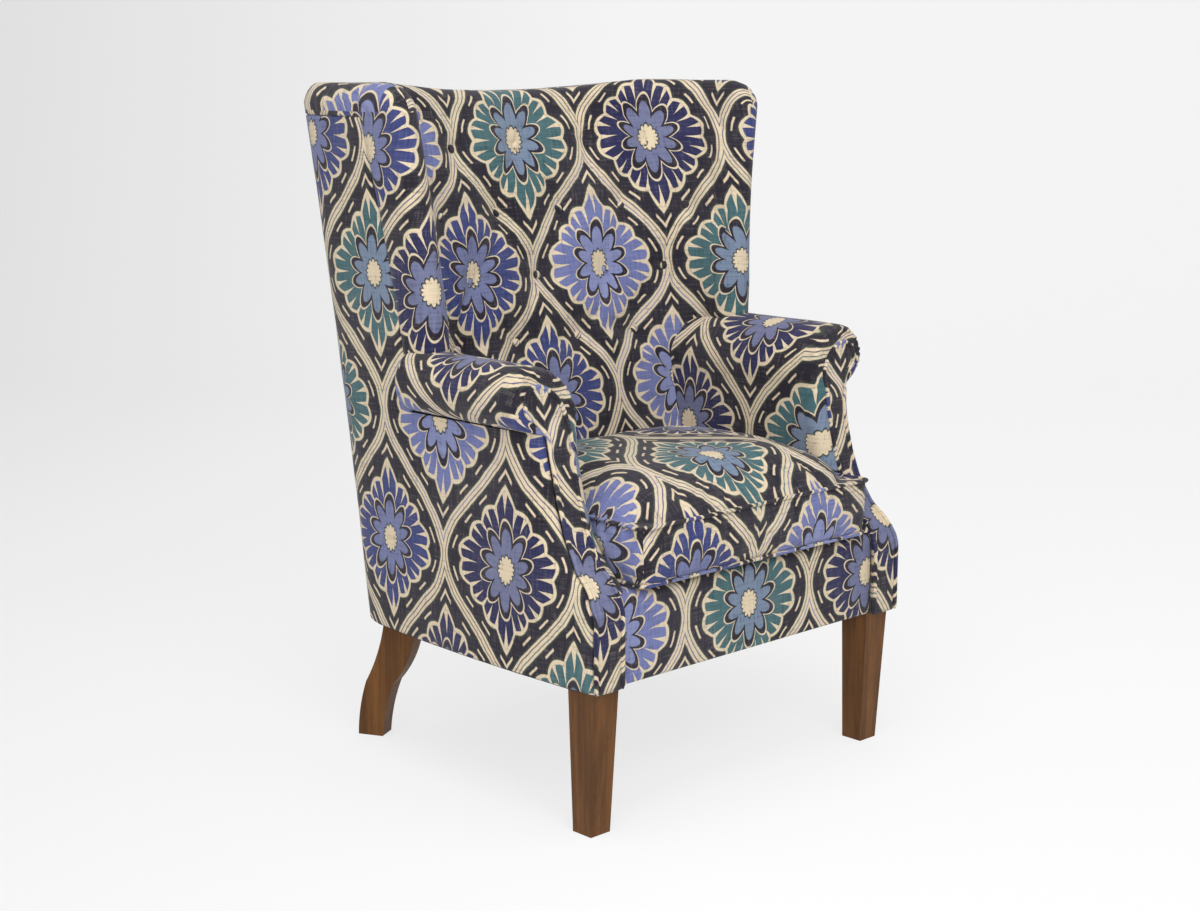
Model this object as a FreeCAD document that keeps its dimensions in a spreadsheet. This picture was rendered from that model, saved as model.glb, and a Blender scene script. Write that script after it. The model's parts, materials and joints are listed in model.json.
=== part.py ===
# Upholstered wing armchair: wooden frame, padded seat, arms and back, loose seat cushion.
# Lengths are in millimetres. X runs across the chair, Y from front to rear, Z up from the floor.
# Distances from front to rear are measured from the front plane of the base, and the finished
# pieces are then moved so that the origin lies under the middle of the chair.
import FreeCAD, Part
import math
import os
import Sketcher
from FreeCAD import Placement, Rotation, Vector

SIZES = {
    # overall form
    "overall_height": 1035, "top_dip": 16, "base_height": 215,
    "base_half_width": 325, "top_half_width": 381, "flare_share": 0.27,
    "base_depth": 570, "back_lean": 66, "lean_curve": 0.35,
    "corner_radius": 94, "side_bow": 11, "bow_fade": 0.7, "neck_tuck": 8, "tuck_height": 100,
    "rear_round": 2,
    "clearance": 0.3, "panel_thickness": 4,
    # inside back and wings
    "wing_thickness": 50, "wing_length": 255, "wing_front": "=base_depth - wing_length",
    "wing_front_lean": 25, "lean_low": 50, "lean_high": 45, "wing_corner": 50,
    "crown_height": 22, "crown_inset": 20,
    "back_thickness": 162, "seat_back": "=base_depth - back_thickness",
    "top_thickness": 87, "plumb_height": 90,
    "back_slope": "=(base_depth + back_lean - top_thickness - seat_back)"
                  " / (overall_height - deck_top - plumb_height)",
    "back_bow": 16, "low_back_bow": 2, "hollow_low": 96, "hollow_rise": 240,
    "hollow_width": 155, "hollow_depth": 124, "low_hollow_width": 60, "low_hollow_depth": 60,
    "wing_pad": 22, "back_pad": 40, "wing_board": 22,
    "wing_pinch": 9.5, "pinch_start": 0.3, "wing_board_drop": 50, "wing_board_stop": 46,
    "wing_board_start": 0.6, "board_cover": 1,
    "seam_drop": 45, "seam_top_back": 139, "seam_top": "=base_depth - seam_top_back",
    "seam_foot_back": 196, "seam_foot": "=base_depth - seam_foot_back",
    "saddle_inset": 1.6, "saddle_tilt": 0.05, "saddle_margin": 20,
    # arms
    "arm_wall": 75, "arm_top": 656, "roll_radius": 45, "roll_overhang": 80,
    "arm_shoulder": 91, "shoulder_round": 29.8, "arm_pad": 22, "pad_lift": 2, "roll_tuck": 10,
    "arm_stop": 90, "arm_length": "=base_depth - arm_stop",
    # arm facings, as seen from the front and from the side
    "facing_inset": 25, "facing_foot": 51, "facing_neck": 37.5, "facing_head": 65,
    "facing_swell": 335, "facing_waist": 470, "facing_throat": 566, "facing_cheek": 604,
    "facing_top": 646, "facing_thickness": 14, "facing_proud": 3, "throat_step": 6,
    "head_back": 50, "cheek_bulge": 17, "crest_bulge": 18,
    "foot_hollow": 4, "neck_hollow": 2, "panel_gap": 2,
    "swoop_foot": 322, "swoop_knee": 363, "swoop_reach": 20,
    "swoop_neck": 530, "neck_reach": 99, "head_reach": 112,
    "piping": 7, "facing_piping": 4,
    # legs
    "leg_top": 50, "leg_foot": 37, "leg_side_inset": 3.7, "leg_front_inset": 9.7,
    "foot_side_inset": 10.7, "foot_front_inset": 20.9,
    "rear_leg_width": 52, "rear_leg_foot": 42, "rear_leg_thickness": 34, "rear_leg_sweep": 51,
    "rear_leg_angle": 28, "rear_foot_inset": 63,
    "rear_foot_out": "=base_half_width - rear_foot_inset",
    "rear_foot_setback": 4, "rear_foot_back": "=base_depth - rear_foot_setback",
    "rear_knee_height": 90, "rear_knee_back": 27, "rear_knee_front": 21,
    "heel_swell": 3.5, "calf_hollow": 7, "shin_swell": 13, "toe_hollow": 3.7,
    "stud_diameter": 10, "stud_length": 90, "stud_fit": 0.05, "stud_end_gap": 0.5,
    # wooden frame
    "rail_height": 82, "rail_thickness": 25, "front_rail_setback": 30,
    "side_rail_inset": 28, "side_rail_reach": "=base_half_width - side_rail_inset",
    "post_width": 34, "post_depth": 40, "post_foot_depth": 56, "post_gap": 1,
    "post_inset": 26, "back_post_width": 40, "back_post_depth": 30, "back_post_inset": 30,
    "back_post_setback": 45, "post_top_drop": 50, "post_top_setback": 23, "post_top_inset": 60,
    "top_rail_height": 40, "lower_rail_height": 42, "lower_rail_lift": 50,
    "board_width": 56, "board_thickness": 23, "board_gap": 2, "board_bite": 20,
    "block_leg": 60, "block_height": 40, "block_lift": 4,
    "leg_block_width": 54.7, "leg_block_height": 60, "leg_block_setback": 10,
    # seat and back supports
    "strap_width": 50, "strap_thickness": 2, "hessian": 1, "seat_straps": 5, "cross_straps": 4,
    "back_straps": 4, "cross_strap_gap": 60,
    "back_strap_low": 150, "back_strap_drop": 110, "back_strap_grip": 25,
    "hessian_low": 90, "hessian_drop": 40, "hessian_inset": 35,
    "hessian_front": 2, "hessian_rear": 6, "deck_margin": 4,
    "deck_top": 350, "border_top": 348, "border_setback": 8,
    "border_round": 16, "dust_cloth": 1.6,
    # back buttons
    "button_radius": 8, "button_dome": 4, "tuft_radius": 24, "tuft_depth": 5,
    "tuft_lift": 2, "button_sink": 24, "button_drop": 100, "button_share": 0.44,
    "button_low": "=arm_top - button_sink",
    "button_pitch": "=(overall_height - button_drop - button_low) / 3",
    "button_spread": "=button_share * base_half_width",
    # seat cushion
    "cushion_overhang": 13, "cushion_side_gap": 3, "cushion_back_gap": 17,
    "boxing_height": 82, "crown_rise": 63, "cushion_corner": 26, "side_pull": 2.6,
    "front_pull": 0.4, "boxing_swell": 3, "cover_thickness": 3, "cushion_foot_inset": 3,
    "seam_lift": 0.5, "ring_round": 0.8,
    "zip_length": 360, "zip_tape": 24, "zip_tape_thickness": 1.2, "zip_coil": 6,
    "slider_length": 11, "slider_width": 9, "coil_margin": 6, "slider_margin": 8,
    "slider_lip": 0.4, "zip_stand": 0.2,
}

doc = FreeCAD.newDocument("WingArmchair")
sheet = doc.addObject("Spreadsheet::Sheet", "Sizes")
for row, alias in enumerate(SIZES, start=1):
    sheet.set(f"A{row}", alias)
    sheet.setAlias(f"B{row}", alias)
for row, size in enumerate(SIZES.values(), start=1):
    sheet.set(f"B{row}", str(size))
doc.recompute()


class Size:
    """A length that carries both its value and the sheet formula that gives it."""

    def __init__(self, value, text):
        self.value = float(value)
        self.text = text

    def __float__(self):
        return self.value

    def __add__(self, other):
        other = as_size(other)
        return Size(self.value + other.value, f"({self.text} + {other.text})")

    def __sub__(self, other):
        other = as_size(other)
        return Size(self.value - other.value, f"({self.text} - {other.text})")

    def __mul__(self, other):
        other = as_size(other)
        return Size(self.value * other.value, f"({self.text} * {other.text})")

    def __truediv__(self, other):
        other = as_size(other)
        return Size(self.value / other.value, f"({self.text} / {other.text})")

    __radd__ = __add__
    __rmul__ = __mul__

    def __rsub__(self, other):
        return as_size(other) - self

    def __neg__(self):
        return self * -1


def as_size(number):
    return number if isinstance(number, Size) else Size(number, repr(number))


def cell(alias):
    return Size(getattr(sheet, alias), f"Sizes.{alias}")


S = {alias: cell(alias) for alias in SIZES}
N = {alias: float(size) for alias, size in S.items()}

# Places that several pieces share.
REAR_EDGE = S["base_depth"] + S["back_lean"]
FRONT_PLANE = -(REAR_EDGE - S["rear_round"] - S["cushion_overhang"]) / 2
ARM_INSIDE = S["base_half_width"] - S["arm_wall"]
ROLL_X = ARM_INSIDE + S["roll_overhang"]
ROLL_Z = S["arm_top"] - S["roll_radius"]
SEAM_LOW = ROLL_Z - S["roll_radius"] - S["clearance"]
FRAME_BOTTOM = S["base_height"]
RAIL_TOP = FRAME_BOTTOM + S["rail_height"]
BOARD_BOTTOM = ROLL_Z - S["board_thickness"]
POST_INSIDE = ARM_INSIDE + S["post_inset"]
SIDE_RAIL_IN = S["side_rail_reach"] - S["rail_thickness"]
BACK_POST_Y = S["base_depth"] - S["back_post_setback"] - S["back_post_depth"]
BACK_POST_X = S["base_half_width"] - S["back_post_inset"] - S["back_post_width"]
POST_TOP_Z = S["overall_height"] - S["post_top_drop"]
POST_TOP_Y = REAR_EDGE - S["post_top_setback"] - S["back_post_depth"]
POST_TOP_X = S["top_half_width"] - S["post_top_inset"] - S["back_post_width"]
REAR_STOP = REAR_EDGE - S["wing_board_stop"]
ARC_MIDDLE = math.sqrt(0.5)

# Cutting forms run on past the chair by SPARE, or reach right across it. TRIM is how far a
# form runs past the face that cuts it off.
SPARE = 60.0
TRIM = 10.0
ACROSS = 1400.0
PIECES = []


def bind(thing, prop, size):
    thing.setExpression(prop, as_size(size).text)


def place(thing, x, y, z, rotation=None):
    """Puts a piece at a point measured from the front plane of the base."""
    point = [as_size(x), as_size(y) + FRONT_PLANE, as_size(z)]
    thing.Placement = Placement(Vector(*[float(v) for v in point]), rotation or Rotation())
    for axis, value in zip("xyz", point):
        bind(thing, f"Placement.Base.{axis}", value)


def keep(piece, label):
    piece.Label = label
    PIECES.append(piece)
    return piece


def mirrored(side, low, high):
    """The left to right limits of a piece on one side of the chair."""
    return (low, high) if side > 0 else (-high, -low)


def side_name(side):
    return "right" if side > 0 else "left"


# Outlines: each point is (u, v) or (u, v, bulge), where bulge is how far the edge to the next
# point stands off its chord, to the right of the way it runs.
def front_view(y):
    return lambda u, v: Vector(u, y, v)


def side_view(x):
    return lambda u, v: Vector(x, u, v)


def outline(points, view):
    edges = []
    for here, there in zip(points, points[1:] + points[:1]):
        start, end = Vector(*here[:2], 0), Vector(*there[:2], 0)
        bulge = here[2] if len(here) > 2 else 0
        if bulge:
            run = (end - start).normalize()
            middle = (start + end) / 2 + Vector(run.y, -run.x, 0) * bulge
            edges.append(Part.Arc(view(start.x, start.y), view(middle.x, middle.y),
                                  view(end.x, end.y)).toShape())
        else:
            edges.append(Part.makeLine(view(start.x, start.y), view(end.x, end.y)))
    return Part.Wire(edges)


def facets(edges, steps):
    """A closed outline in straight runs: each edge is divided into its number of steps."""
    points = []
    end = edges[0].discretize(2)[0]
    for edge, count in zip(edges, steps):
        run = edge.discretize(count + 1)
        if run[0].distanceToPoint(end) > run[-1].distanceToPoint(end):
            run.reverse()
        points += run[:-1]
        end = run[-1]
    return Part.makePolygon(points + points[:1])


def stacked(outlines, closed=False):
    """A solid through outlines with equal numbers of corners, in flat triangles.

    A closed one runs on from the last outline to the first, as a cord does.
    """
    rings = [[vertex.Point for vertex in wire.OrderedVertexes] for wire in outlines]
    following = rings[1:] + rings[:1] if closed else rings[1:]
    corners = []
    for ring, other in zip(rings, following):
        for index, point in enumerate(ring):
            after = (index + 1) % len(ring)
            low, high = (point, ring[after]), (other[index], other[after])
            # The dividing line leans the same way on both sides of the chair.
            lean = 0 if point.x + ring[after].x > 0 else 1
            corners.append((low[0], low[1], high[lean]))
            corners.append((high[0], high[1], low[1 - lean]))
    faces = [Part.Face(Part.makePolygon([a, b, c, a])) for a, b, c in corners]
    if not closed:
        faces += [Part.Face(outlines[0]), Part.Face(outlines[-1])]
    shell = Part.makeShell(faces)
    shell.sewShape()
    solid = Part.makeSolid(shell)
    if solid.Volume < 0:
        solid.reverse()
    return solid


def ring_of(count, radius, centre, facing):
    """A regular polygon about an axis."""
    turn = Rotation(Vector(0, 0, 1), facing)
    points = []
    for index in range(count):
        angle = 2 * math.pi * index / count
        points.append(centre + turn.multVec(Vector(math.cos(angle), math.sin(angle), 0)) * radius)
    return Part.makePolygon(points + points[:1])


def prism(points, view, direction):
    return Part.Face(outline(points, view)).extrude(direction)


def across(points):
    """An outline seen from the side, run right across the chair."""
    return prism(points, side_view(-ACROSS / 2), Vector(ACROSS, 0, 0))


def cutting_box(low_y, high_y, low_z, high_z):
    """A box right across the chair."""
    size = (ACROSS, high_y - low_y, high_z - low_z)
    return Part.makeBox(*size, Vector(-ACROSS / 2, low_y, low_z))


def mirror_x(shape):
    return shape.mirror(Vector(0, 0, 0), Vector(1, 0, 0))


def feature(name, shape):
    """A soft piece whose curved form is made by lofts and cuts."""
    piece = doc.addObject("Part::Feature", name)
    piece.Shape = shape
    piece.Placement = Placement(Vector(0, float(FRONT_PLANE), 0), Rotation())
    return keep(piece, name)


# Sketched bodies.
def plane_of(body, role):
    return [item for item in body.Origin.OriginFeatures if item.Role == role][0]


def new_sketch(body, name, role, points, offset=0, arcs=None):
    """A closed outline whose corners are tied to the sheet; arcs give the edges that bulge."""
    sketch = body.newObject("Sketcher::SketchObject", name)
    sketch.AttachmentSupport = (plane_of(body, role), [""])
    sketch.MapMode = "FlatFace"
    sketch.AttachmentOffset = Placement(Vector(0, 0, float(offset)), Rotation())
    bind(sketch, "AttachmentOffset.Base.z", offset)
    arcs = arcs or {}
    ends = [Vector(float(u), float(v), 0) for u, v in points]
    count = len(ends)
    for index in range(count):
        start, end = ends[index], ends[(index + 1) % count]
        if index in arcs:
            sketch.addGeometry(sketch_arc(start, end, float(arcs[index])))
        else:
            sketch.addGeometry(Part.LineSegment(start, end))
    firsts = [2 if float(arcs.get(index, 0)) < 0 else 1 for index in range(count)]
    for index in range(count):
        before = (index - 1) % count
        sketch.addConstraint(Sketcher.Constraint("Coincident", before, 3 - firsts[before],
                                                 index, firsts[index]))
        for axis, size in zip(("DistanceX", "DistanceY"), points[index]):
            number = sketch.addConstraint(Sketcher.Constraint(axis, -1, 1, index, firsts[index],
                                                              float(size)))
            bind(sketch, f"Constraints[{number}]", size)
        if index in arcs:
            radius = sketch.Geometry[index].Radius
            sketch.addConstraint(Sketcher.Constraint("Radius", index, radius))
    return sketch


def sketch_arc(start, end, bulge):
    """An arc that runs counter-clockwise, from end to start where the bulge is to the left."""
    if bulge < 0:
        start, end = end, start
    half, rise = (end - start).Length / 2, abs(bulge)
    radius = (half * half + rise * rise) / (2 * rise)
    run = (end - start).normalize()
    centre = (start + end) / 2 - Vector(run.y, -run.x, 0) * (radius - rise)
    first, last = start - centre, end - centre
    return Part.ArcOfCircle(Part.Circle(centre, Vector(0, 0, 1), radius),
                            math.atan2(first.y, first.x), math.atan2(last.y, last.x))


def rectangle(low_x, high_x, low_y, high_y):
    return [(low_x, low_y), (high_x, low_y), (high_x, high_y), (low_x, high_y)]


def loft_body(name, sections):
    """A body lofted through outlines at several heights."""
    body = doc.addObject("PartDesign::Body", name)
    sketches = [new_sketch(body, f"{name}_section_{i}", "XY_Plane", points, height)
                for i, (points, height) in enumerate(sections)]
    loft = body.newObject("PartDesign::AdditiveLoft", f"{name}_loft")
    loft.Profile = sketches[0]
    loft.Sections = sketches[1:]
    loft.Ruled = True
    return body


def pad_body(name, role, points, length, offset=0, arcs=None, both_ways=False):
    body = doc.addObject("PartDesign::Body", name)
    sketch = new_sketch(body, f"{name}_outline", role, points, offset, arcs)
    pad = body.newObject("PartDesign::Pad", f"{name}_pad")
    pad.Profile = sketch
    pad.Midplane = both_ways
    bind(pad, "Length", length)
    return body


def drill(body, name, x, y, height, depth, downward):
    """A round hole for a stud, down from the top of a piece or up into its underside."""
    sketch = body.newObject("Sketcher::SketchObject", f"{name}_circle")
    sketch.AttachmentSupport = (plane_of(body, "XY_Plane"), [""])
    sketch.MapMode = "FlatFace"
    sketch.AttachmentOffset = Placement(Vector(0, 0, float(height)), Rotation())
    bind(sketch, "AttachmentOffset.Base.z", height)
    radius = S["stud_diameter"] / 2 + S["stud_fit"]
    sketch.addGeometry(Part.Circle(Vector(float(x), float(y), 0), Vector(0, 0, 1), float(radius)))
    for axis, size in (("DistanceX", x), ("DistanceY", y)):
        number = sketch.addConstraint(Sketcher.Constraint(axis, -1, 1, 0, 3, float(size)))
        bind(sketch, f"Constraints[{number}]", size)
    number = sketch.addConstraint(Sketcher.Constraint("Radius", 0, float(radius)))
    bind(sketch, f"Constraints[{number}]", radius)
    pocket = body.newObject("PartDesign::Pocket", f"{name}_hole")
    pocket.Profile = sketch
    pocket.Reversed = not downward
    bind(pocket, "Length", depth)


def board(name, xs, ys, zs):
    """A straight board between two corners."""
    piece = doc.addObject("Part::Box", name)
    for prop, limits in (("Length", xs), ("Width", ys), ("Height", zs)):
        bind(piece, prop, as_size(limits[1]) - limits[0])
    place(piece, xs[0], ys[0], zs[0])
    return piece


def group(name, members):
    """Like pieces that share one name, as separate solids."""
    piece = doc.addObject("Part::Compound", name)
    piece.Links = members
    return keep(piece, name)


# Legs.
FRONT_STUD_X = S["base_half_width"] - S["leg_side_inset"] - S["leg_top"] / 2
FRONT_STUD_Y = S["leg_front_inset"] + S["leg_top"] / 2
REAR_ANGLE = float(S["rear_leg_angle"])


def front_leg(side):
    """Square leg, tapered on all four faces towards its foot."""
    name = f"front_leg_{side_name(side)}"
    foot_out = S["base_half_width"] - S["foot_side_inset"]
    top_out = S["base_half_width"] - S["leg_side_inset"]
    foot_x = mirrored(side, foot_out - S["leg_foot"], foot_out)
    top_x = mirrored(side, top_out - S["leg_top"], top_out)
    foot = rectangle(*foot_x, S["foot_front_inset"], S["foot_front_inset"] + S["leg_foot"])
    top = rectangle(*top_x, S["leg_front_inset"], S["leg_front_inset"] + S["leg_top"])
    body = loft_body(name, [(foot, as_size(0)), (top, FRAME_BOTTOM)])
    drill(body, name, side * FRONT_STUD_X, FRONT_STUD_Y, FRAME_BOTTOM, S["stud_length"] / 2, True)
    place(body, 0, 0, 0)
    return keep(body, name)


def rear_leg(side):
    """Sabre leg: an S curved side outline, sawn from a plank and turned out to the corner."""
    name = f"rear_leg_{side_name(side)}"
    top = FRAME_BOTTOM
    foot_back = S["rear_leg_foot"]
    heel = foot_back - S["rear_leg_sweep"]
    knee = S["rear_knee_height"]
    points = [(as_size(0), as_size(0)), (foot_back, as_size(0)), (S["rear_knee_back"], knee),
              (heel, top), (heel - S["rear_leg_width"], top), (-S["rear_knee_front"], knee)]
    arcs = {1: S["heel_swell"], 2: -S["calf_hollow"], 4: S["shin_swell"], 5: -S["toe_hollow"]}
    body = doc.addObject("PartDesign::Body", name)
    sketch = new_sketch(body, f"{name}_outline", "YZ_Plane", points, 0, arcs)
    pad = body.newObject("PartDesign::Pad", f"{name}_pad")
    pad.Profile = sketch
    pad.Reversed = side > 0
    bind(pad, "Length", S["rear_leg_thickness"])
    stud_y = heel - S["rear_leg_width"] / 2
    drill(body, name, -side * S["rear_leg_thickness"] / 2, stud_y, top, S["stud_length"] / 2, True)
    turn = Rotation(Vector(0, 0, 1), -side * REAR_ANGLE)
    place(body, side * S["rear_foot_out"], S["rear_foot_back"], 0, turn)
    return keep(body, name)


def rear_stud_spot(side):
    """Where the stud of a rear leg stands, from the turn and the place of its foot."""
    back = S["rear_leg_foot"] - S["rear_leg_sweep"] - S["rear_leg_width"] / 2
    inward = S["rear_leg_thickness"] / 2
    sine = f"sin({S['rear_leg_angle'].text} * 1deg)"
    cosine = f"cos({S['rear_leg_angle'].text} * 1deg)"
    sine = Size(math.sin(math.radians(REAR_ANGLE)), sine)
    cosine = Size(math.cos(math.radians(REAR_ANGLE)), cosine)
    x = S["rear_foot_out"] - inward * cosine + back * sine
    y = S["rear_foot_back"] + inward * sine + back * cosine
    return side * x, y


def leg_studs():
    """Steel studs that join each leg to the post above it."""
    studs = []
    for side in (-1, 1):
        spots = [(side * FRONT_STUD_X, FRONT_STUD_Y), rear_stud_spot(side)]
        for number, (x, y) in enumerate(spots):
            stud = doc.addObject("Part::Cylinder", f"stud_{side_name(side)}_{number}")
            bind(stud, "Radius", S["stud_diameter"] / 2)
            bind(stud, "Height", S["stud_length"] - S["stud_end_gap"] * 2)
            place(stud, x, y, FRAME_BOTTOM - S["stud_length"] / 2 + S["stud_end_gap"])
            studs.append(stud)
    return group("leg_studs", studs)


for hand in (-1, 1):
    front_leg(hand)
    rear_leg(hand)
leg_studs()

# The shape of the arm front seen from the side: upright at the foot, swept back over a knee,
# then nearly upright again up to the scroll.
KNEE_ROUND = 0.13
NECK_ROUND = 0.1


def front_line(shift=0.0):
    knee_bulge = KNEE_ROUND * math.hypot(N["swoop_reach"] + N["facing_proud"],
                                         N["swoop_knee"] - N["swoop_foot"])
    neck_bulge = NECK_ROUND * math.hypot(N["neck_reach"] - N["swoop_reach"],
                                         N["swoop_neck"] - N["swoop_knee"])
    rise = (N["head_reach"] - N["neck_reach"]) / (N["arm_top"] - N["swoop_neck"])
    high = N["arm_top"] + SPARE
    return [(shift - N["facing_proud"], N["base_height"] - SPARE),
            (shift - N["facing_proud"], N["swoop_foot"], -knee_bulge),
            (shift + N["swoop_reach"], N["swoop_knee"], neck_bulge),
            (shift + N["neck_reach"], N["swoop_neck"]),
            (shift + N["head_reach"] + SPARE * rise, high)]


def ahead_of(shift):
    """Everything in front of the arm's front line, moved back by shift."""
    line = front_line(shift)
    far = -2 * SPARE
    points = [(far, line[0][1])] + line + [(far, line[-1][1])]
    return across(points)


def levels(low, high, count):
    """Evenly spaced heights for the outlines of a form."""
    return [low + (high - low) * i / (count - 1) for i in range(count)]


# Outer form of the chair at a height.
def rise_at(z):
    return (z - N["base_height"]) / (N["overall_height"] - N["base_height"])


def half_width(z):
    t = rise_at(z)
    flare = N["flare_share"] * t + (1 - N["flare_share"]) * t * t
    return N["base_half_width"] + (N["top_half_width"] - N["base_half_width"]) * flare


def rear_at(z):
    t = rise_at(z)
    return N["base_depth"] + N["back_lean"] * ((1 + N["lean_curve"]) * t - N["lean_curve"] * t * t)


def pinch_at(z):
    """How far a wing's front is drawn in, as a share: most of all below mid-height."""
    share = (rise_at(z) - N["pinch_start"]) / (1 - N["pinch_start"])
    return math.sin(math.pi * min(max(share, 0), 1))


def bow_at(z):
    return N["side_bow"] * (1 - N["bow_fade"] * rise_at(z)) - N["wing_pinch"] * pinch_at(z)


def side_points(z):
    """Three plan points of the outside: at the front, half-way and at the rear corner."""
    tuck = N["neck_tuck"] * min(max((z - N["swoop_foot"]) / N["tuck_height"], 0), 1)
    corner_y = rear_at(z) - N["corner_radius"]
    return [(N["base_half_width"] - tuck, -SPARE), (half_width(z) + bow_at(z), 0.5 * corner_y),
            (half_width(z), corner_y)]


def side_at(y, z):
    """Half-width of the outside at a distance from the front, on the curve through those."""
    points = side_points(z)
    total = 0
    for x, here in points:
        for _, there in points:
            if there != here:
                x *= (y - there) / (here - there)
        total += x
    return total


def outer_section(z, inset):
    """Plan outline of the chair's outside, drawn in by inset; it runs on past the front."""
    wide, rear, radius = half_width(z), rear_at(z), N["corner_radius"]
    front, middle, corner = [(x - inset, y) for x, y in side_points(z)]
    corner_end = (wide - radius, rear - inset)
    half = (radius - inset) * ARC_MIDDLE
    corner_middle = (wide - radius + half, rear - radius + half)
    right = [Part.Arc(Vector(*front, z), Vector(*middle, z), Vector(*corner, z)).toShape(),
             Part.Arc(Vector(*corner, z), Vector(*corner_middle, z),
                      Vector(*corner_end, z)).toShape()]
    left = [mirror_x(edge) for edge in reversed(right)]
    back = Part.makeLine(Vector(*corner_end, z), Vector(-corner_end[0], corner_end[1], z))
    close = Part.makeLine(Vector(-front[0], front[1], z), Vector(*front, z))
    return facets(right + [back] + left + [close], [5, 7, 1, 7, 5, 1])


def outer_form(inset):
    heights = levels(N["base_height"] - TRIM, N["overall_height"] - N["top_dip"], 9)
    return stacked([outer_section(z, inset) for z in heights])


# Inner form: the hollow of the back between the wings.
def inside_back_at(z):
    rise = max(z - N["deck_top"] - N["plumb_height"], 0)
    return N["seat_back"] + N["back_slope"] * rise


def hollow_at(z):
    """Width and depth of the rounding between the back and a wing, and the bow between them."""
    share = min(max((z - N["arm_top"] + N["hollow_low"]) / N["hollow_rise"], 0), 1)
    width = N["low_hollow_width"] + share * (N["hollow_width"] - N["low_hollow_width"])
    depth = N["low_hollow_depth"] + share * (N["hollow_depth"] - N["low_hollow_depth"])
    bow = N["low_back_bow"] + share * (N["back_bow"] - N["low_back_bow"])
    return width, depth, bow


def wing_front_at(z):
    low, high = N["arm_top"] + N["lean_low"], N["overall_height"] - N["lean_high"]
    lean = min(max((z - low) / (high - low), 0), 1)
    over = max(z - (N["overall_height"] - N["wing_corner"]), 0)
    drawn = N["wing_corner"] - math.sqrt(max(N["wing_corner"] ** 2 - over ** 2, 0))
    return N["wing_front"] + N["wing_front_lean"] * lean + N["wing_pinch"] * pinch_at(z) + drawn


def hollow_edges(z, grow_side, grow_back):
    """The inside line from the right wing round to the left wing, moved outwards."""
    width, depth, bow = hollow_at(z)
    back = inside_back_at(z)
    end_y = wing_front_at(min(z, N["overall_height"])) + N["wing_thickness"] / 2
    inner = side_at(end_y, z) - N["wing_thickness"]
    turn_out = Vector(inner + grow_side, back - bow - depth + grow_back, z)
    turn_in = Vector(inner - width, back - bow + grow_back, z)
    turn_mid = Vector(inner - width + (width + grow_side) * ARC_MIDDLE,
                      back - bow - depth + depth * ARC_MIDDLE + grow_back, z)
    middle = Vector(0, back + grow_back, z)
    mirror = [Vector(-p.x, p.y, z) for p in (turn_in, turn_mid, turn_out)]
    return [Part.Arc(turn_out, turn_mid, turn_in).toShape(),
            Part.Arc(turn_in, middle, mirror[0]).toShape(),
            Part.Arc(mirror[0], mirror[1], mirror[2]).toShape()], turn_out


def wing_section(z, inset):
    """Plan outline of the wall that runs round the back and both wings, drawn in by inset."""
    wide, rear, radius = half_width(z), rear_at(z), N["corner_radius"]
    end_radius = N["wing_thickness"] / 2 - inset
    front = wing_front_at(z)
    end_y = front + N["wing_thickness"] / 2
    side = side_at(end_y, z)
    outside = Vector(side - inset, end_y, z)
    nose = Vector(side - N["wing_thickness"] / 2, front + inset, z)
    inside = Vector(side - N["wing_thickness"] + inset, end_y, z)
    corner = Vector(wide - inset, rear - radius, z)
    half = (radius - inset) * ARC_MIDDLE
    corner_mid = Vector(wide - radius + half, rear - radius + half, z)
    corner_end = Vector(wide - radius, rear - inset, z)
    bend_y = 0.5 * (corner.y + outside.y)
    bend = Vector(side_at(bend_y, z) - inset, bend_y, z)
    quarter = end_radius * ARC_MIDDLE
    centre = Vector(nose.x, end_y, z)
    right = [Part.Arc(nose, centre + Vector(quarter, -quarter, 0), outside).toShape(),
             Part.Arc(outside, bend, corner).toShape(),
             Part.Arc(corner, corner_mid, corner_end).toShape()]
    hollow, turn_out = hollow_edges(z, inset, inset)
    inner_line = Part.makeLine(inside, turn_out)
    nose_in = Part.Arc(inside, centre + Vector(-quarter, -quarter, 0), nose).toShape()
    left = [mirror_x(edge) for edge in reversed(right)]
    back = Part.makeLine(corner_end, Vector(-corner_end.x, corner_end.y, z))
    ring = right + [back] + left + [mirror_x(nose_in), mirror_x(inner_line)]
    ring += list(reversed(hollow)) + [inner_line, nose_in]
    return facets(ring, [4, 4, 7, 1, 7, 4, 4, 4, 1, 7, 4, 7, 1, 4])


def wing_wall():
    """Back and wings as one wall with rounded ends and a rounded top that dips mid-way."""
    shoulder = N["overall_height"] - N["crown_height"] - N["top_dip"]
    heights = levels(N["deck_top"] + N["pad_lift"], shoulder, 10)
    wall = stacked([wing_section(z, 0) for z in heights])
    rise = N["crown_height"] + N["top_dip"]
    caps = []
    for turn in (0, 30, 60, 90):
        angle = math.radians(turn)
        caps.append(wing_section(shoulder + rise * math.sin(angle),
                                 N["crown_inset"] * (1 - math.cos(angle))))
    return wall.fuse(stacked(caps)).cut(top_saddle())


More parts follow.
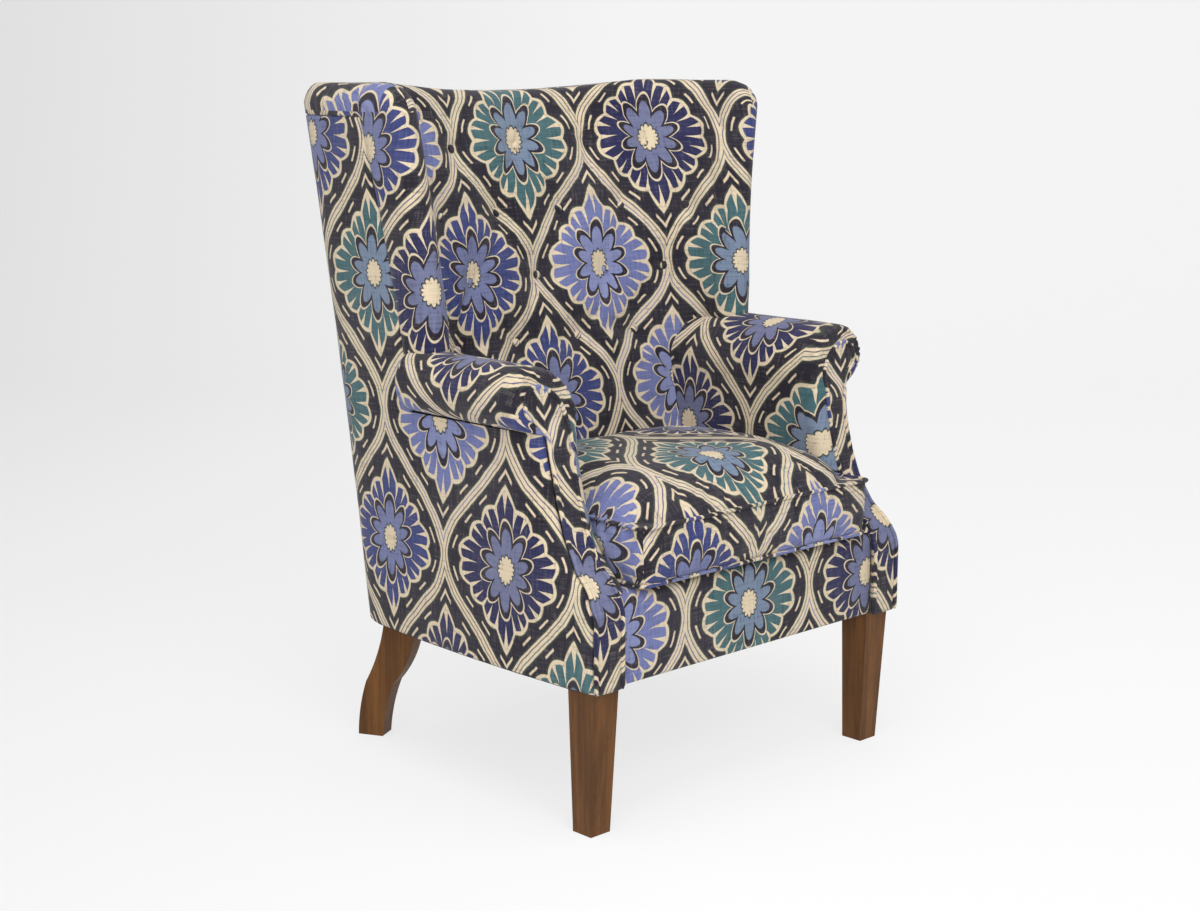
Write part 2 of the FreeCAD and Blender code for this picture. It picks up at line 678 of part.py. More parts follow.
def top_saddle():
    """What is cut off the top so that it dips in the middle and crowns from front to rear."""
    low_top = N["overall_height"] - N["top_dip"]
    reach = N["top_half_width"] - N["saddle_inset"] * N["wing_thickness"]
    turn_radius = reach * reach / (2 * N["top_dip"])
    margin = N["saddle_margin"]
    front, rear = inside_back_at(low_top) - margin, float(REAR_EDGE) + margin
    drop = N["saddle_tilt"] * (rear - front)
    low, high = low_top - drop, low_top + 2 * SPARE
    points = [(front - 2 * margin, low), (front, low, -drop), (rear, low),
              (rear + 2 * margin, low), (rear + 2 * margin, high), (front - 2 * margin, high)]
    axis_point = Vector(0, 0, low_top + turn_radius)
    half_turn = math.degrees(math.asin(min((reach + 2 * margin) / turn_radius, 1)))
    face = Part.Face(outline(points, side_view(0)))
    face.rotate(axis_point, Vector(0, 1, 0), -half_turn)
    return face.revolve(axis_point, Vector(0, 1, 0), 2 * half_turn)


def hollow_form(grow_side, grow_back):
    """The space in front of the back and between the wings, made larger all round."""
    heights = levels(N["deck_top"] - 2 * TRIM, N["overall_height"] + TRIM, 9)
    wires = []
    for z in heights:
        hollow, turn_out = hollow_edges(z, grow_side, grow_back)
        front = Vector(turn_out.x, -2 * SPARE, z)
        left_front = Vector(-turn_out.x, -2 * SPARE, z)
        left_turn = Vector(-turn_out.x, turn_out.y, z)
        edges = [Part.makeLine(front, turn_out)] + hollow
        edges += [Part.makeLine(left_turn, left_front), Part.makeLine(left_front, front)]
        wires.append(facets(edges, [1, 7, 4, 7, 1, 1]))
    return stacked(wires)


# The seam between the outside panels and the stuff that wraps round the wings.
def behind_seam(grow=0.0):
    """Everything behind the wing seam and below the top seam."""
    top = N["overall_height"] - N["seam_drop"] + grow
    low = N["base_height"] - SPARE
    far = N["base_depth"] + 5 * SPARE
    points = [(N["seam_foot"] - grow, low), (far, low), (far, top), (N["seam_top"] - grow, top),
              (N["seam_foot"] - grow, float(SEAM_LOW))]
    return across(points)


def arm_front_zone():
    """The outside of the arm below the roll, in front of the wing seam."""
    far = N["seam_foot"] + N["board_cover"]
    return cutting_box(-2 * SPARE, far, N["base_height"] - SPARE, float(SEAM_LOW))


def half_space(side, low=0.0):
    box = Part.makeBox(ACROSS / 2, ACROSS, ACROSS, Vector(low, -4 * SPARE, -SPARE))
    return box if side > 0 else mirror_x(box)


OUTSIDE = outer_form(0)
LINED = outer_form(N["panel_thickness"])
INSIDE_PANELS = outer_form(N["panel_thickness"] + N["clearance"])
HOLLOW = hollow_form(N["wing_pad"], N["back_pad"])


def back_seam_wedge(grow):
    """The part of the rear between the two upright seams, which spread towards the top."""
    low, high = N["base_height"] - SPARE, N["overall_height"]
    low_x = half_width(low) - N["corner_radius"] + grow
    high_x = half_width(high) - N["corner_radius"] + grow
    points = [(-low_x, low), (low_x, low), (high_x, high), (-high_x, high)]
    return prism(points, front_view(0.5 * N["base_depth"]), Vector(0, ACROSS, 0))


def outside_skin():
    skin = OUTSIDE.cut(LINED)
    zone = behind_seam(0).fuse(arm_front_zone())
    below = cutting_box(-ACROSS, ACROSS, 0, N["base_height"])
    return skin.common(zone).cut(ahead_of(N["facing_thickness"] + N["panel_gap"])).cut(below)


SKIN = outside_skin()


def outside_panels():
    """Outer arm and wing panels, and the outer back between the upright seams."""
    wedge = back_seam_wedge(N["clearance"] / 2)
    sides = SKIN.cut(wedge)
    for side in (-1, 1):
        feature(f"outside_panel_{side_name(side)}", sides.common(half_space(side)))
    back = SKIN.common(back_seam_wedge(-N["clearance"] / 2))
    feature("outside_back", back.common(cutting_box(N["seat_back"], ACROSS, 0, ACROSS)))


outside_panels()


# Arms.
def arm_outline():
    """Cross-section of the arm stuffing: a wall, a shoulder and a roll hooked over the board."""
    inner, pad = float(ARM_INSIDE), N["arm_pad"]
    roll_x, roll_z, radius = float(ROLL_X), float(ROLL_Z), N["roll_radius"]
    quarter = radius * (1 - ARC_MIDDLE)
    board_low = float(BOARD_BOTTOM) - N["clearance"]
    board_high = roll_z + N["clearance"]
    board_end = inner + pad + N["board_gap"] + N["board_width"] + N["clearance"]
    foot = N["deck_top"] + N["pad_lift"]
    tuck = roll_x - N["roll_tuck"]
    return [(inner, foot), (inner + pad, foot), (inner + pad, board_high),
            (board_end, board_high), (board_end, board_low), (tuck, board_low),
            (tuck, roll_z - radius), (roll_x, roll_z - radius, quarter),
            (roll_x + radius, roll_z, quarter), (roll_x, roll_z + radius, N["shoulder_round"]),
            (inner, N["arm_top"] - N["arm_shoulder"])]


def arm_shadow(grow):
    """The full cross-section under the arm's outer line, made larger by grow."""
    inner, low = float(ARM_INSIDE), N["base_height"]
    roll_x, roll_z, radius = float(ROLL_X), float(ROLL_Z), N["roll_radius"] + grow
    quarter = radius * (1 - ARC_MIDDLE)
    return [(inner - grow, low), (roll_x + radius, low), (roll_x + radius, roll_z, quarter),
            (roll_x, roll_z + radius, N["shoulder_round"]),
            (inner - grow, N["arm_top"] - N["arm_shoulder"])]


def facing_outline(inset=0.0):
    """Front view of the arm facing: a straight foot, a slim neck and a leaf-shaped head."""
    inner = float(ARM_INSIDE) + N["facing_inset"]
    foot, neck, head = N["facing_foot"], N["facing_neck"], N["facing_head"]
    low = N["base_height"] - SPARE
    throat = N["facing_throat"]
    points = [(inner, low), (inner + foot, low),
              (inner + foot, N["facing_swell"], -N["foot_hollow"]),
              (inner + neck, N["facing_waist"], -N["neck_hollow"]),
              (inner + neck + N["throat_step"], throat),
              (inner + head, N["facing_cheek"], N["cheek_bulge"]),
              (inner + N["head_back"], N["facing_top"], N["crest_bulge"]), (inner, throat)]
    wire = outline(points, front_view(-3 * SPARE))
    if inset:
        wire = wire.makeOffset2D(-inset)
    return wire


def facing_prism(inset):
    return Part.Face(facing_outline(inset)).extrude(Vector(0, 8 * SPARE, 0))


def wing_board_form(grow):
    """Bent board that stiffens a wing, just inside the outer panel."""
    depth = N["panel_thickness"] + N["board_cover"]
    shell = outer_form(depth - grow).cut(outer_form(depth + N["wing_board"] + grow))
    low = float(ROLL_Z) + N["board_cover"] - grow
    high = N["overall_height"] - N["wing_board_drop"] + grow
    front = N["wing_front"] + N["wing_front_lean"] - grow
    front += N["wing_board_start"] * N["wing_thickness"]
    zone = cutting_box(front, float(REAR_STOP) + grow, low, high)
    return shell.common(zone).common(half_space(1, 0.5 * N["top_half_width"]))


WING_BOARD = wing_board_form(0)
WING_SLOT = wing_board_form(N["clearance"])


def arm_stuffing():
    """Padded arm: its roll ends at the wing seam, and its wall runs on beside the back."""
    arm = prism(arm_outline(), front_view(-SPARE), Vector(0, N["arm_length"] + SPARE, 0))
    tail = behind_seam(N["clearance"]).cut(INSIDE_PANELS)
    arm = arm.cut(tail).cut(ahead_of(N["panel_gap"]))
    slot = facing_prism(-N["clearance"])
    slot = slot.common(ahead_of(N["facing_thickness"] + N["clearance"]))
    return arm.cut(slot).cut(WING_SLOT)


def facing_band(near, far):
    return ahead_of(far).cut(ahead_of(near))


def arms():
    stuffing = arm_stuffing()
    below = cutting_box(-ACROSS, ACROSS, 0, N["base_height"])
    ring = N["facing_piping"]
    panel = facing_prism(ring + N["clearance"]).common(facing_band(0, N["facing_thickness"]))
    cord = facing_prism(0).cut(facing_prism(ring))
    cord = cord.common(facing_band(N["board_cover"] - ring, ring))
    for side in (-1, 1):
        turned = [shape if side > 0 else mirror_x(shape)
                  for shape in (stuffing, panel.cut(below), cord.cut(below))]
        for label, shape in zip(("arm_pad", "arm_facing", "facing_piping"), turned):
            feature(f"{label}_{side_name(side)}", shape)


arms()


# Wooden frame.
def front_post(side):
    """Upright behind the arm facing, sawn to the same swept line."""
    name = f"front_post_{side_name(side)}"
    low, high = float(FRAME_BOTTOM), float(BOARD_BOTTOM)
    back = N["facing_thickness"] - N["facing_proud"] + N["post_gap"] + N["post_foot_depth"]
    top_back = N["head_reach"] + N["facing_thickness"] + N["post_depth"]
    points = [(-SPARE, low), (back, low), (back, N["swoop_foot"]), (top_back, N["facing_waist"]),
              (top_back, high), (-SPARE, high)]
    post = prism(points, side_view(float(POST_INSIDE)), Vector(N["post_width"], 0, 0))
    post = post.cut(ahead_of(N["facing_thickness"] + N["post_gap"]))
    hole = Part.makeCylinder(N["stud_diameter"] / 2 + N["stud_fit"], N["stud_length"] / 2,
                             Vector(float(FRONT_STUD_X), float(FRONT_STUD_Y), low))
    post = post.cut(hole)
    feature(name, post if side > 0 else mirror_x(post))


def back_post(side):
    """Rear upright: plumb up to the seat rails, then leaning back and outwards."""
    name = f"back_post_{side_name(side)}"
    low_x = mirrored(side, BACK_POST_X, BACK_POST_X + S["back_post_width"])
    high_x = mirrored(side, POST_TOP_X, POST_TOP_X + S["back_post_width"])
    low = rectangle(*low_x, BACK_POST_Y, BACK_POST_Y + S["back_post_depth"])
    high = rectangle(*high_x, POST_TOP_Y, POST_TOP_Y + S["back_post_depth"])
    body = loft_body(name, [(low, FRAME_BOTTOM), (low, RAIL_TOP), (high, POST_TOP_Z)])
    place(body, 0, 0, 0)
    return keep(body, name)


def seat_rails():
    rail = S["rail_thickness"]
    heights = (FRAME_BOTTOM, RAIL_TOP)
    front_reach = POST_INSIDE - S["clearance"]
    front_back = S["front_rail_setback"] + rail
    keep(board("seat_rail_front", (-front_reach, front_reach),
               (S["front_rail_setback"], front_back), heights), "seat_rail_front")
    rear_reach = BACK_POST_X - S["clearance"]
    keep(board("seat_rail_rear", (-rear_reach, rear_reach), (BACK_POST_Y, BACK_POST_Y + rail),
               heights), "seat_rail_rear")
    start = S["facing_thickness"] - S["facing_proud"] + S["post_gap"] + S["post_foot_depth"]
    start += S["clearance"]
    for side in (-1, 1):
        name = f"seat_rail_{side_name(side)}"
        keep(board(name, mirrored(side, SIDE_RAIL_IN, S["side_rail_reach"]),
                   (start, BACK_POST_Y - S["clearance"]), heights), name)


def corner_blocks():
    """Three-cornered blocks glued into the corners of the seat frame."""
    blocks = []
    leg = S["block_leg"]
    gap = S["clearance"]
    x = SIDE_RAIL_IN - gap
    front_y = S["front_rail_setback"] + S["rail_thickness"] + gap
    rear_y = BACK_POST_Y - gap
    for side in (-1, 1):
        for end, y, way in (("front", front_y, 1), ("rear", rear_y, -1)):
            points = [(side * x, y), (side * (x - leg), y), (side * x, y + way * leg)]
            name = f"block_{end}_{side_name(side)}"
            block = pad_body(name, "XY_Plane", points, S["block_height"],
                             FRAME_BOTTOM + S["block_lift"])
            place(block, 0, 0, 0)
            blocks.append(block)
    return group("corner_blocks", blocks)


def rear_leg_blocks():
    """Blocks behind the rear rail, beside the rear uprights, that take the rear leg studs."""
    blocks = []
    outer = BACK_POST_X - S["clearance"]
    ys = (BACK_POST_Y + S["rail_thickness"], S["base_depth"] - S["leg_block_setback"])
    for side in (-1, 1):
        name = f"leg_block_{side_name(side)}"
        points = rectangle(*mirrored(side, outer - S["leg_block_width"], outer), *ys)
        block = pad_body(name, "XY_Plane", points, S["leg_block_height"], FRAME_BOTTOM)
        drill(block, name, *rear_stud_spot(side), FRAME_BOTTOM, S["stud_length"] / 2, False)
        place(block, 0, 0, 0)
        blocks.append(block)
    return group("rear_leg_blocks", blocks)


def cross_rails():
    """Top rail and lower rail of the back, between the rear uprights."""
    lean = (POST_TOP_X - BACK_POST_X) / (POST_TOP_Z - RAIL_TOP)
    step = (POST_TOP_Y - BACK_POST_Y) / (POST_TOP_Z - RAIL_TOP)
    for name, low, height in (("top_rail", POST_TOP_Z - S["top_rail_height"],
                               S["top_rail_height"]),
                              ("lower_back_rail", RAIL_TOP + S["lower_rail_lift"],
                               S["lower_rail_height"])):
        reach = BACK_POST_X + lean * (low - RAIL_TOP) - S["clearance"]
        front = BACK_POST_Y + step * (low + height - RAIL_TOP)
        keep(board(name, (-reach, reach), (front, front + S["rail_thickness"]),
                   (low, low + height)), name)


def arm_boards():
    start = S["head_reach"] + S["facing_thickness"] + S["post_gap"]
    for side in (-1, 1):
        name = f"arm_board_{side_name(side)}"
        inner = ARM_INSIDE + S["arm_pad"] + S["board_gap"]
        keep(board(name, mirrored(side, inner, inner + S["board_width"]),
                   (start, BACK_POST_Y + S["board_bite"]), (BOARD_BOTTOM, ROLL_Z)), name)


for hand in (-1, 1):
    front_post(hand)
    back_post(hand)
seat_rails()
corner_blocks()
rear_leg_blocks()
cross_rails()
arm_boards()
doc.recompute()


def piece_shape(label):
    """The shape of a finished piece, moved back to the front plane of the base."""
    shape = [piece for piece in PIECES if piece.Label == label][0].Shape.copy()
    shape.translate(Vector(0, -float(FRONT_PLANE), 0))
    return shape


# How much larger than a rear upright its notch in a wing board is.
POST_CLEARANCE = 1.01


def wing_boards():
    post = piece_shape("back_post_right")
    cutter = post.copy()
    cutter.scale(POST_CLEARANCE, post.BoundBox.Center)
    right = WING_BOARD.cut(cutter)
    for side in (-1, 1):
        feature(f"wing_board_{side_name(side)}", right if side > 0 else mirror_x(right))


wing_boards()


# Inside back with its wings, tufts and buttons.
def inside_back():
    wall = wing_wall()
    arm = prism(arm_shadow(N["clearance"]), front_view(-2 * SPARE), Vector(0, ACROSS, 0))
    cavity = behind_seam(0).cut(HOLLOW)
    for cutter in (arm, mirror_x(arm), cavity, WING_SLOT, mirror_x(WING_SLOT)):
        wall = wall.cut(cutter)
    return wall


# Places of the buttons across a row, as shares of their spread. The lowest row has no third pair.
EVEN_ROW = (0.46, 1.33, 2.0)
ODD_ROW = (0, 1, 1.76)


def button_spots():
    """Staggered rows of buttons, from the lowest up."""
    spread, low, pitch = N["button_spread"], N["button_low"], N["button_pitch"]
    spots = []
    for row in range(4):
        z = low + row * pitch
        columns = EVEN_ROW if row % 2 == 0 else ODD_ROW
        if row == 0:
            columns = columns[:2]
        for column in columns:
            spots += [(column * spread, z)] if column == 0 else [(column * spread, z),
                                                                 (-column * spread, z)]
    return spots


def surface_point(wall, x, z):
    probe = Part.makeLine(Vector(x, 0, z), Vector(x, float(REAR_EDGE) + SPARE, z)).common(wall)
    return min((vertex.Point for vertex in probe.Vertexes), key=lambda point: point.y)


def surface_frame(wall, x, z):
    """Where a button sits and which way it faces."""
    here = surface_point(wall, x, z)
    step = N["button_radius"]
    side = surface_point(wall, x + step, z) - here
    up = surface_point(wall, x, z + step) - here
    return here, up.cross(side).normalize() * (1 if up.cross(side).y < 0 else -1)


# Rings of a button's dome: shares of its radius and of its height.
BUTTON_TIERS = ((0.96, 0.0), (0.96, 0.15), (0.7, 0.75), (0.25, 1.0))


def tufted_back():
    wall = inside_back()
    dimples, buttons = [], []
    radius, dome = N["button_radius"], N["button_dome"]
    depth, reach = N["tuft_depth"], N["tuft_radius"]
    for x, z in button_spots():
        here, facing = surface_frame(wall, x, z)
        rings = [ring_of(12, radius, here - facing * depth, facing),
                 ring_of(12, reach, here + facing * N["tuft_lift"], facing)]
        dimples.append(stacked(rings))
        seat = here - facing * (depth - N["clearance"])
        rings = [ring_of(12, radius * wide, seat + facing * dome * high, facing)
                 for wide, high in BUTTON_TIERS]
        buttons.append(stacked(rings))
    feature("inside_back", wall.cut(Part.makeCompound(dimples)))
    feature("back_buttons", Part.makeCompound(buttons))


tufted_back()


# Seat and back supports.
def seat_webbing():
    """Straps across the seat frame: one layer from front to rear, one from side to side."""
    width, thick = S["strap_width"], S["strap_thickness"]
    count = int(N["seat_straps"])
    span = (BACK_POST_X - S["clearance"]) * 2 - width
    straps = []
    for i in range(count):
        left = -span / 2 + span * (i / (count - 1)) - width / 2
        straps.append(board(f"seat_strap_{i}", (left, left + width),
                            (S["front_rail_setback"], BACK_POST_Y + S["rail_thickness"]),
                            (RAIL_TOP, RAIL_TOP + thick)))
    group("seat_webbing", straps)
    count = int(N["cross_straps"])
    first = S["front_rail_setback"] + S["rail_thickness"] + S["cross_strap_gap"]
    last = BACK_POST_Y - S["cross_strap_gap"] - width
    cross = []
    for i in range(count):
        front = first + (last - first) * (i / (count - 1))
        cross.append(board(f"cross_strap_{i}", (-S["side_rail_reach"], S["side_rail_reach"]),
                           (front, front + width), (RAIL_TOP + thick, RAIL_TOP + thick * 2)))
    group("seat_cross_webbing", cross)


def back_lean():
    """Slope of the rear uprights above the seat rails."""
    return (POST_TOP_Y - BACK_POST_Y) / (POST_TOP_Z - RAIL_TOP)


def leaning_board(xs, low, high, ahead, thickness):
    """A flat strip that lies against the fronts of the rear uprights."""
    slope = float(back_lean())
    y_low = float(BACK_POST_Y) + slope * (low - float(RAIL_TOP)) - ahead
    y_high = float(BACK_POST_Y) + slope * (high - float(RAIL_TOP)) - ahead
    points = [(y_low - thickness, low), (y_low, low), (y_high, high), (y_high - thickness, high)]
    return prism(points, side_view(xs[0]), Vector(xs[1] - xs[0], 0, 0))


def back_supports():
    """Straps and hessian stretched over the front of the back frame."""
    count = int(N["back_straps"])
    low = float(RAIL_TOP) + N["back_strap_low"]
    high = float(POST_TOP_Z) - N["back_strap_drop"]
    step = (high - low) / (count - 1)
    reach = float(BACK_POST_X) + N["back_strap_grip"]
    straps = []
    for i in range(count):
        foot = low + i * step
        straps.append(leaning_board((-reach, reach), foot, foot + N["strap_width"], 0.0,
                                    N["strap_thickness"]))
    feature("back_webbing", Part.makeCompound(straps))
    width = float(BACK_POST_X) - N["hessian_inset"]
    cloth = leaning_board((-width, width), float(RAIL_TOP) + N["hessian_low"],
                          float(POST_TOP_Z) - N["hessian_drop"], N["strap_thickness"],
                          N["hessian"])
    feature("back_hessian", cloth)


def seat_deck():
    """Hessian over the webbing, the stuffed deck on it and the padded front border."""
    reach = ARM_INSIDE + S["arm_pad"] - S["deck_margin"]
    base = RAIL_TOP + S["strap_thickness"] * 2
    keep(board("seat_hessian", (-reach, reach),
               (S["front_rail_setback"] + S["hessian_front"], BACK_POST_Y - S["hessian_rear"]),
               (base, base + S["hessian"])), "seat_hessian")
    keep(board("seat_deck", (-reach, reach),
               (S["front_rail_setback"] + S["clearance"], S["seat_back"] + S["back_pad"]),
               (base + S["hessian"], S["deck_top"])), "seat_deck")
    setback, back = S["border_setback"], S["front_rail_setback"]
    top, rounding = S["border_top"], S["border_round"]
    points = [(setback, S["base_height"]), (back, S["base_height"]), (back, top),
              (setback + rounding, top), (setback, top - rounding)]
    arcs = {3: -float(rounding) * (1 - ARC_MIDDLE)}
    width = (ARM_INSIDE + S["facing_inset"] - S["clearance"]) * 2
    border = pad_body("front_border", "YZ_Plane", points, width, 0, arcs, True)
    place(border, 0, 0, 0)
    keep(border, "front_border")


def dust_cover():
    """Thin cloth under the frame, cut out round the legs."""
    z = N["base_height"] - N["dust_cloth"]
    cloth = Part.Face(outer_section(z, N["panel_thickness"] + N["board_cover"]))
    cloth = cloth.cut(cutting_box(-ACROSS, N["front_rail_setback"], z - SPARE, z + SPARE))
    for label in ("front_leg_left", "front_leg_right", "rear_leg_left", "rear_leg_right"):
        outlines = piece_shape(label).slice(Vector(0, 0, 1), z + N["dust_cloth"] / 2)
        edge = max(outlines, key=lambda wire: wire.Length).makeOffset2D(N["board_cover"])
        notch = Part.Face(edge).extrude(Vector(0, 0, 2 * N["dust_cloth"]))
        notch.translate(Vector(0, 0, -N["dust_cloth"]))
        cloth = cloth.cut(notch)
    feature("dust_cover", cloth.Faces[0].extrude(Vector(0, 0, N["dust_cloth"])))


seat_webbing()
back_supports()
seat_deck()
dust_cover()

# Seat cushion.
CUSHION_BASE = S["deck_top"] + S["clearance"]
CUSHION_LOW = float(CUSHION_BASE) + N["piping"] / 2 + N["seam_lift"]
CUSHION_HIGH = CUSHION_LOW + N["boxing_height"]
CUSHION_HALF = float(ARM_INSIDE) - N["cushion_side_gap"] - N["piping"] - N["clearance"]
CUSHION_FRONT = -N["cushion_overhang"] + N["piping"] + N["clearance"]
CUSHION_REAR = N["seat_back"] - N["cushion_back_gap"]


def cushion_outline(z, grow=0.0, share=1.0):
    """Rounded box whose sides pull in between the corners, with tangent corner arcs."""
    middle_y = (CUSHION_FRONT + CUSHION_REAR) / 2
    half_x = (CUSHION_HALF + grow) * share
    half_y = (CUSHION_REAR - CUSHION_FRONT + 2 * grow) / 2 * share
    radius = (N["cushion_corner"] + grow) * share
    radius += N["ring_round"] * min(half_x, half_y) * (1 - share)
    side, front = math.radians(N["side_pull"]), math.radians(N["front_pull"])
    centre = Vector(half_x - radius, half_y - radius, 0)

    def on_corner(angle):
        return centre + Vector(math.cos(angle), math.sin(angle), 0) * radius

    side_end = on_corner(-side)
    corner_mid = on_corner((math.pi / 2 + front - side) / 2)
    front_end = on_corner(math.pi / 2 + front)
    side_mid = Vector(side_end.x - side_end.y * math.tan(side / 2), 0, 0)
    front_mid = Vector(0, front_end.y - front_end.x * math.tan(front / 2), 0)

    def put(point, x_sign, y_sign):
        return Vector(point.x * x_sign, middle_y + point.y * y_sign, z)

    edges = []
    for x_sign, y_sign in ((1, 1), (-1, 1), (-1, -1), (1, -1)):
        corner = [put(p, x_sign, y_sign) for p in (side_end, corner_mid, front_end)]
        along = [put(front_end, x_sign, y_sign), put(front_mid, 1, y_sign),
                 put(front_end, -x_sign, y_sign)]
        down = [put(side_end, x_sign, y_sign), put(side_mid, x_sign, 1),
                put(side_end, x_sign, -y_sign)]
        edges.append(Part.Arc(*corner).toShape())
        edges.append(Part.Arc(*(along if x_sign == y_sign else down)).toShape())
    return facets(edges, [5, 4] * 4)


# How far in from the seam each outline of the crown is, as a share of the half-width.
CROWN_SHARES = (0.0, 0.02, 0.06, 0.13, 0.23, 0.37, 0.55, 0.78)


def cushion_form(inset):
    """Boxing that swells a little between its pipings, under a crowned top."""
    swell = N["boxing_swell"]
    low = float(CUSHION_BASE) + inset
    foot = [cushion_outline(low, -inset - N["cushion_foot_inset"]),
            cushion_outline(CUSHION_LOW + inset, -inset)]
    boxing = [foot[1], cushion_outline((CUSHION_LOW + CUSHION_HIGH) / 2, swell - inset),
              cushion_outline(CUSHION_HIGH, -inset)]
    body = stacked(foot).fuse(stacked(boxing))
    crown = []
    for share in CROWN_SHARES:
        rise = (N["crown_rise"] - inset) * math.sqrt(1 - (1 - share) ** 2)
        crown.append(cushion_outline(CUSHION_HIGH + rise, -inset, 1 - share))
    return body.fuse(stacked(crown))


def piping_loop(z):
    """A round cord all the way round the cushion, just outside its cover."""
    radius = N["piping"] / 2
    loops = []
    for index in range(8):
        angle = 2 * math.pi * index / 8
        grow = radius + N["clearance"] + radius * math.cos(angle)
        loops.append(cushion_outline(z + radius * math.sin(angle), grow))
    return stacked(loops, True)


def seat_cushion():
    wall = N["cover_thickness"]
    outer = cushion_form(0)
    feature("cushion_cover", outer.cut(cushion_form(wall - N["clearance"])))
    feature("cushion_filling", cushion_form(wall))
    feature("cushion_piping_top", piping_loop(CUSHION_HIGH))
    feature("cushion_piping_bottom", piping_loop(CUSHION_LOW))


def zip_fastener():
    """Zip along the rear boxing: a tape, a coil on it and a slider that runs on the coil."""
    length, tape = S["zip_length"], S["zip_tape"]
    rear = S["seat_back"] - S["cushion_back_gap"] + S["boxing_swell"] + S["zip_stand"]
    middle = CUSHION_BASE + S["piping"] / 2 + S["seam_lift"] + S["boxing_height"] / 2
    thick = S["zip_tape_thickness"]
    strip = board("zip_strip", (-length / 2, length / 2), (rear, rear + thick),
                  (middle - tape / 2, middle + tape / 2))
    end = length / 2 - S["coil_margin"]
    coil = board("zip_coil_row", (-end, end), (rear + thick, rear + thick * 2),
                 (middle - S["zip_coil"] / 2, middle + S["zip_coil"] / 2))
    tape_piece = doc.addObject("Part::MultiFuse", "cushion_zip")
    tape_piece.Shapes = [strip, coil]
    keep(tape_piece, "cushion_zip")
    slide_x = length / 2 - S["slider_margin"]
    run = S["clearance"]
    block = board("slider_block", (slide_x - S["slider_length"], slide_x),
                  (rear + thick + run, rear + thick * 3 + S["slider_lip"]),
                  (middle - S["slider_width"] / 2, middle + S["slider_width"] / 2))
    channel = board("slider_channel", (slide_x - S["slider_length"] - TRIM, slide_x + TRIM),
                    (rear, rear + thick * 2 + run),
                    (middle - S["zip_coil"] / 2 - run, middle + S["zip_coil"] / 2 + run))
    slider = doc.addObject("Part::Cut", "zip_slider")
    slider.Base = block
    slider.Tool = channel
    keep(slider, "zip_slider")


seat_cushion()
zip_fastener()


def check_and_write():
    doc.recompute()
    for item in doc.Objects:
        if "Invalid" in item.State or "Error" in item.State:
            raise RuntimeError(f"{item.Label} could not be built: {item.State}")
    os.makedirs("parts", exist_ok=True)
    for piece in PIECES:
        shape = piece.Shape
        if shape.isNull() or not shape.isValid() or not shape.Solids:
            raise RuntimeError(f"{piece.Label} has no sound solid")
        shape.exportStep(f"parts/{piece.Label}.step")
        print(f"{piece.Label}: {len(shape.Solids)} solid, {shape.Volume / 1000:.1f} cm3")


check_and_write()
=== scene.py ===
# Upholstered wing armchair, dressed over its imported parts.
# Shapes are worked out in millimetres, as in the part's source: X across the chair, Y from the
# front plane of the base to the rear, Z up from the floor. Meshes are in metres.
import json
import math

import bmesh
import bpy
import numpy as np
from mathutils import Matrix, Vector, noise


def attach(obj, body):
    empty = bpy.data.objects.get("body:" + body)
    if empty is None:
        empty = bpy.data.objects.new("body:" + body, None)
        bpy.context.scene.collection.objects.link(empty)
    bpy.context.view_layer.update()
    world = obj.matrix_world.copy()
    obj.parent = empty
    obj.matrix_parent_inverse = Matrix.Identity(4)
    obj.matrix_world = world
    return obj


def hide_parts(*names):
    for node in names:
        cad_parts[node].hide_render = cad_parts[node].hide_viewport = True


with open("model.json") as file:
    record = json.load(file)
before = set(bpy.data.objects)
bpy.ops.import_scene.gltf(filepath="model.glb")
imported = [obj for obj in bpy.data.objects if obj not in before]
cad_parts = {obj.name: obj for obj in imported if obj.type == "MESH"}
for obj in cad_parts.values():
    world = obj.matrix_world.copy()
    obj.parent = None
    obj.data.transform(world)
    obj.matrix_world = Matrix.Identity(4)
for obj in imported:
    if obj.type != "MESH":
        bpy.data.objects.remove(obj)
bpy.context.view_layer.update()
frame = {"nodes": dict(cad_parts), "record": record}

# Sizes of the chair.
HEIGHT, TOP_DIP, DIP_REACH, BASE_Z, SHOULDER_Z = 1035.0, 16.0, 301.0, 215.0, 997.0
BASE_HALF, TOP_HALF, FLARE = 325.0, 381.0, 0.27
DEPTH, LEAN, LEAN_CURVE = 570.0, 66.0, 0.35
CORNER, SIDE_BOW, NECK_TUCK, PINCH = 94.0, 11.0, 8.0, 9.5
WING, WING_FRONT, WING_LEAN, WING_CORNER = 50.0, 315.0, 25.0, 50.0
SEAT_BACK, BACK_SLOPE, DECK = 408.0, 0.237, 350.0
ARM_X, ARM_TOP, ROLL_X, ROLL_Z, ROLL_R = 250.0, 656.0, 330.0, 611.0, 45.0
SEAM_FOOT, SEAM_TOP, SEAM_Z, PANEL_TOP = 374.0, 431.0, 990.0, 565.7
FRONT_PLANE = -310.5


# Small helpers.
def clamp(value, low=0.0, high=1.0):
    return min(max(value, low), high)


def mix(a, b, share):
    return a + (b - a) * share


def smooth(value):
    value = clamp(value)
    return value * value * (3 - 2 * value)


def quarter(count, first=0):
    """Angles evenly spaced over a quarter turn, from a chosen one on."""
    return np.linspace(0, math.pi / 2, count)[first:]


def ripple(x, y, z, scale):
    """Smooth unevenness between -1 and 1, the same on each run."""
    return noise.noise(Vector((x / scale, y / scale, z / scale)))


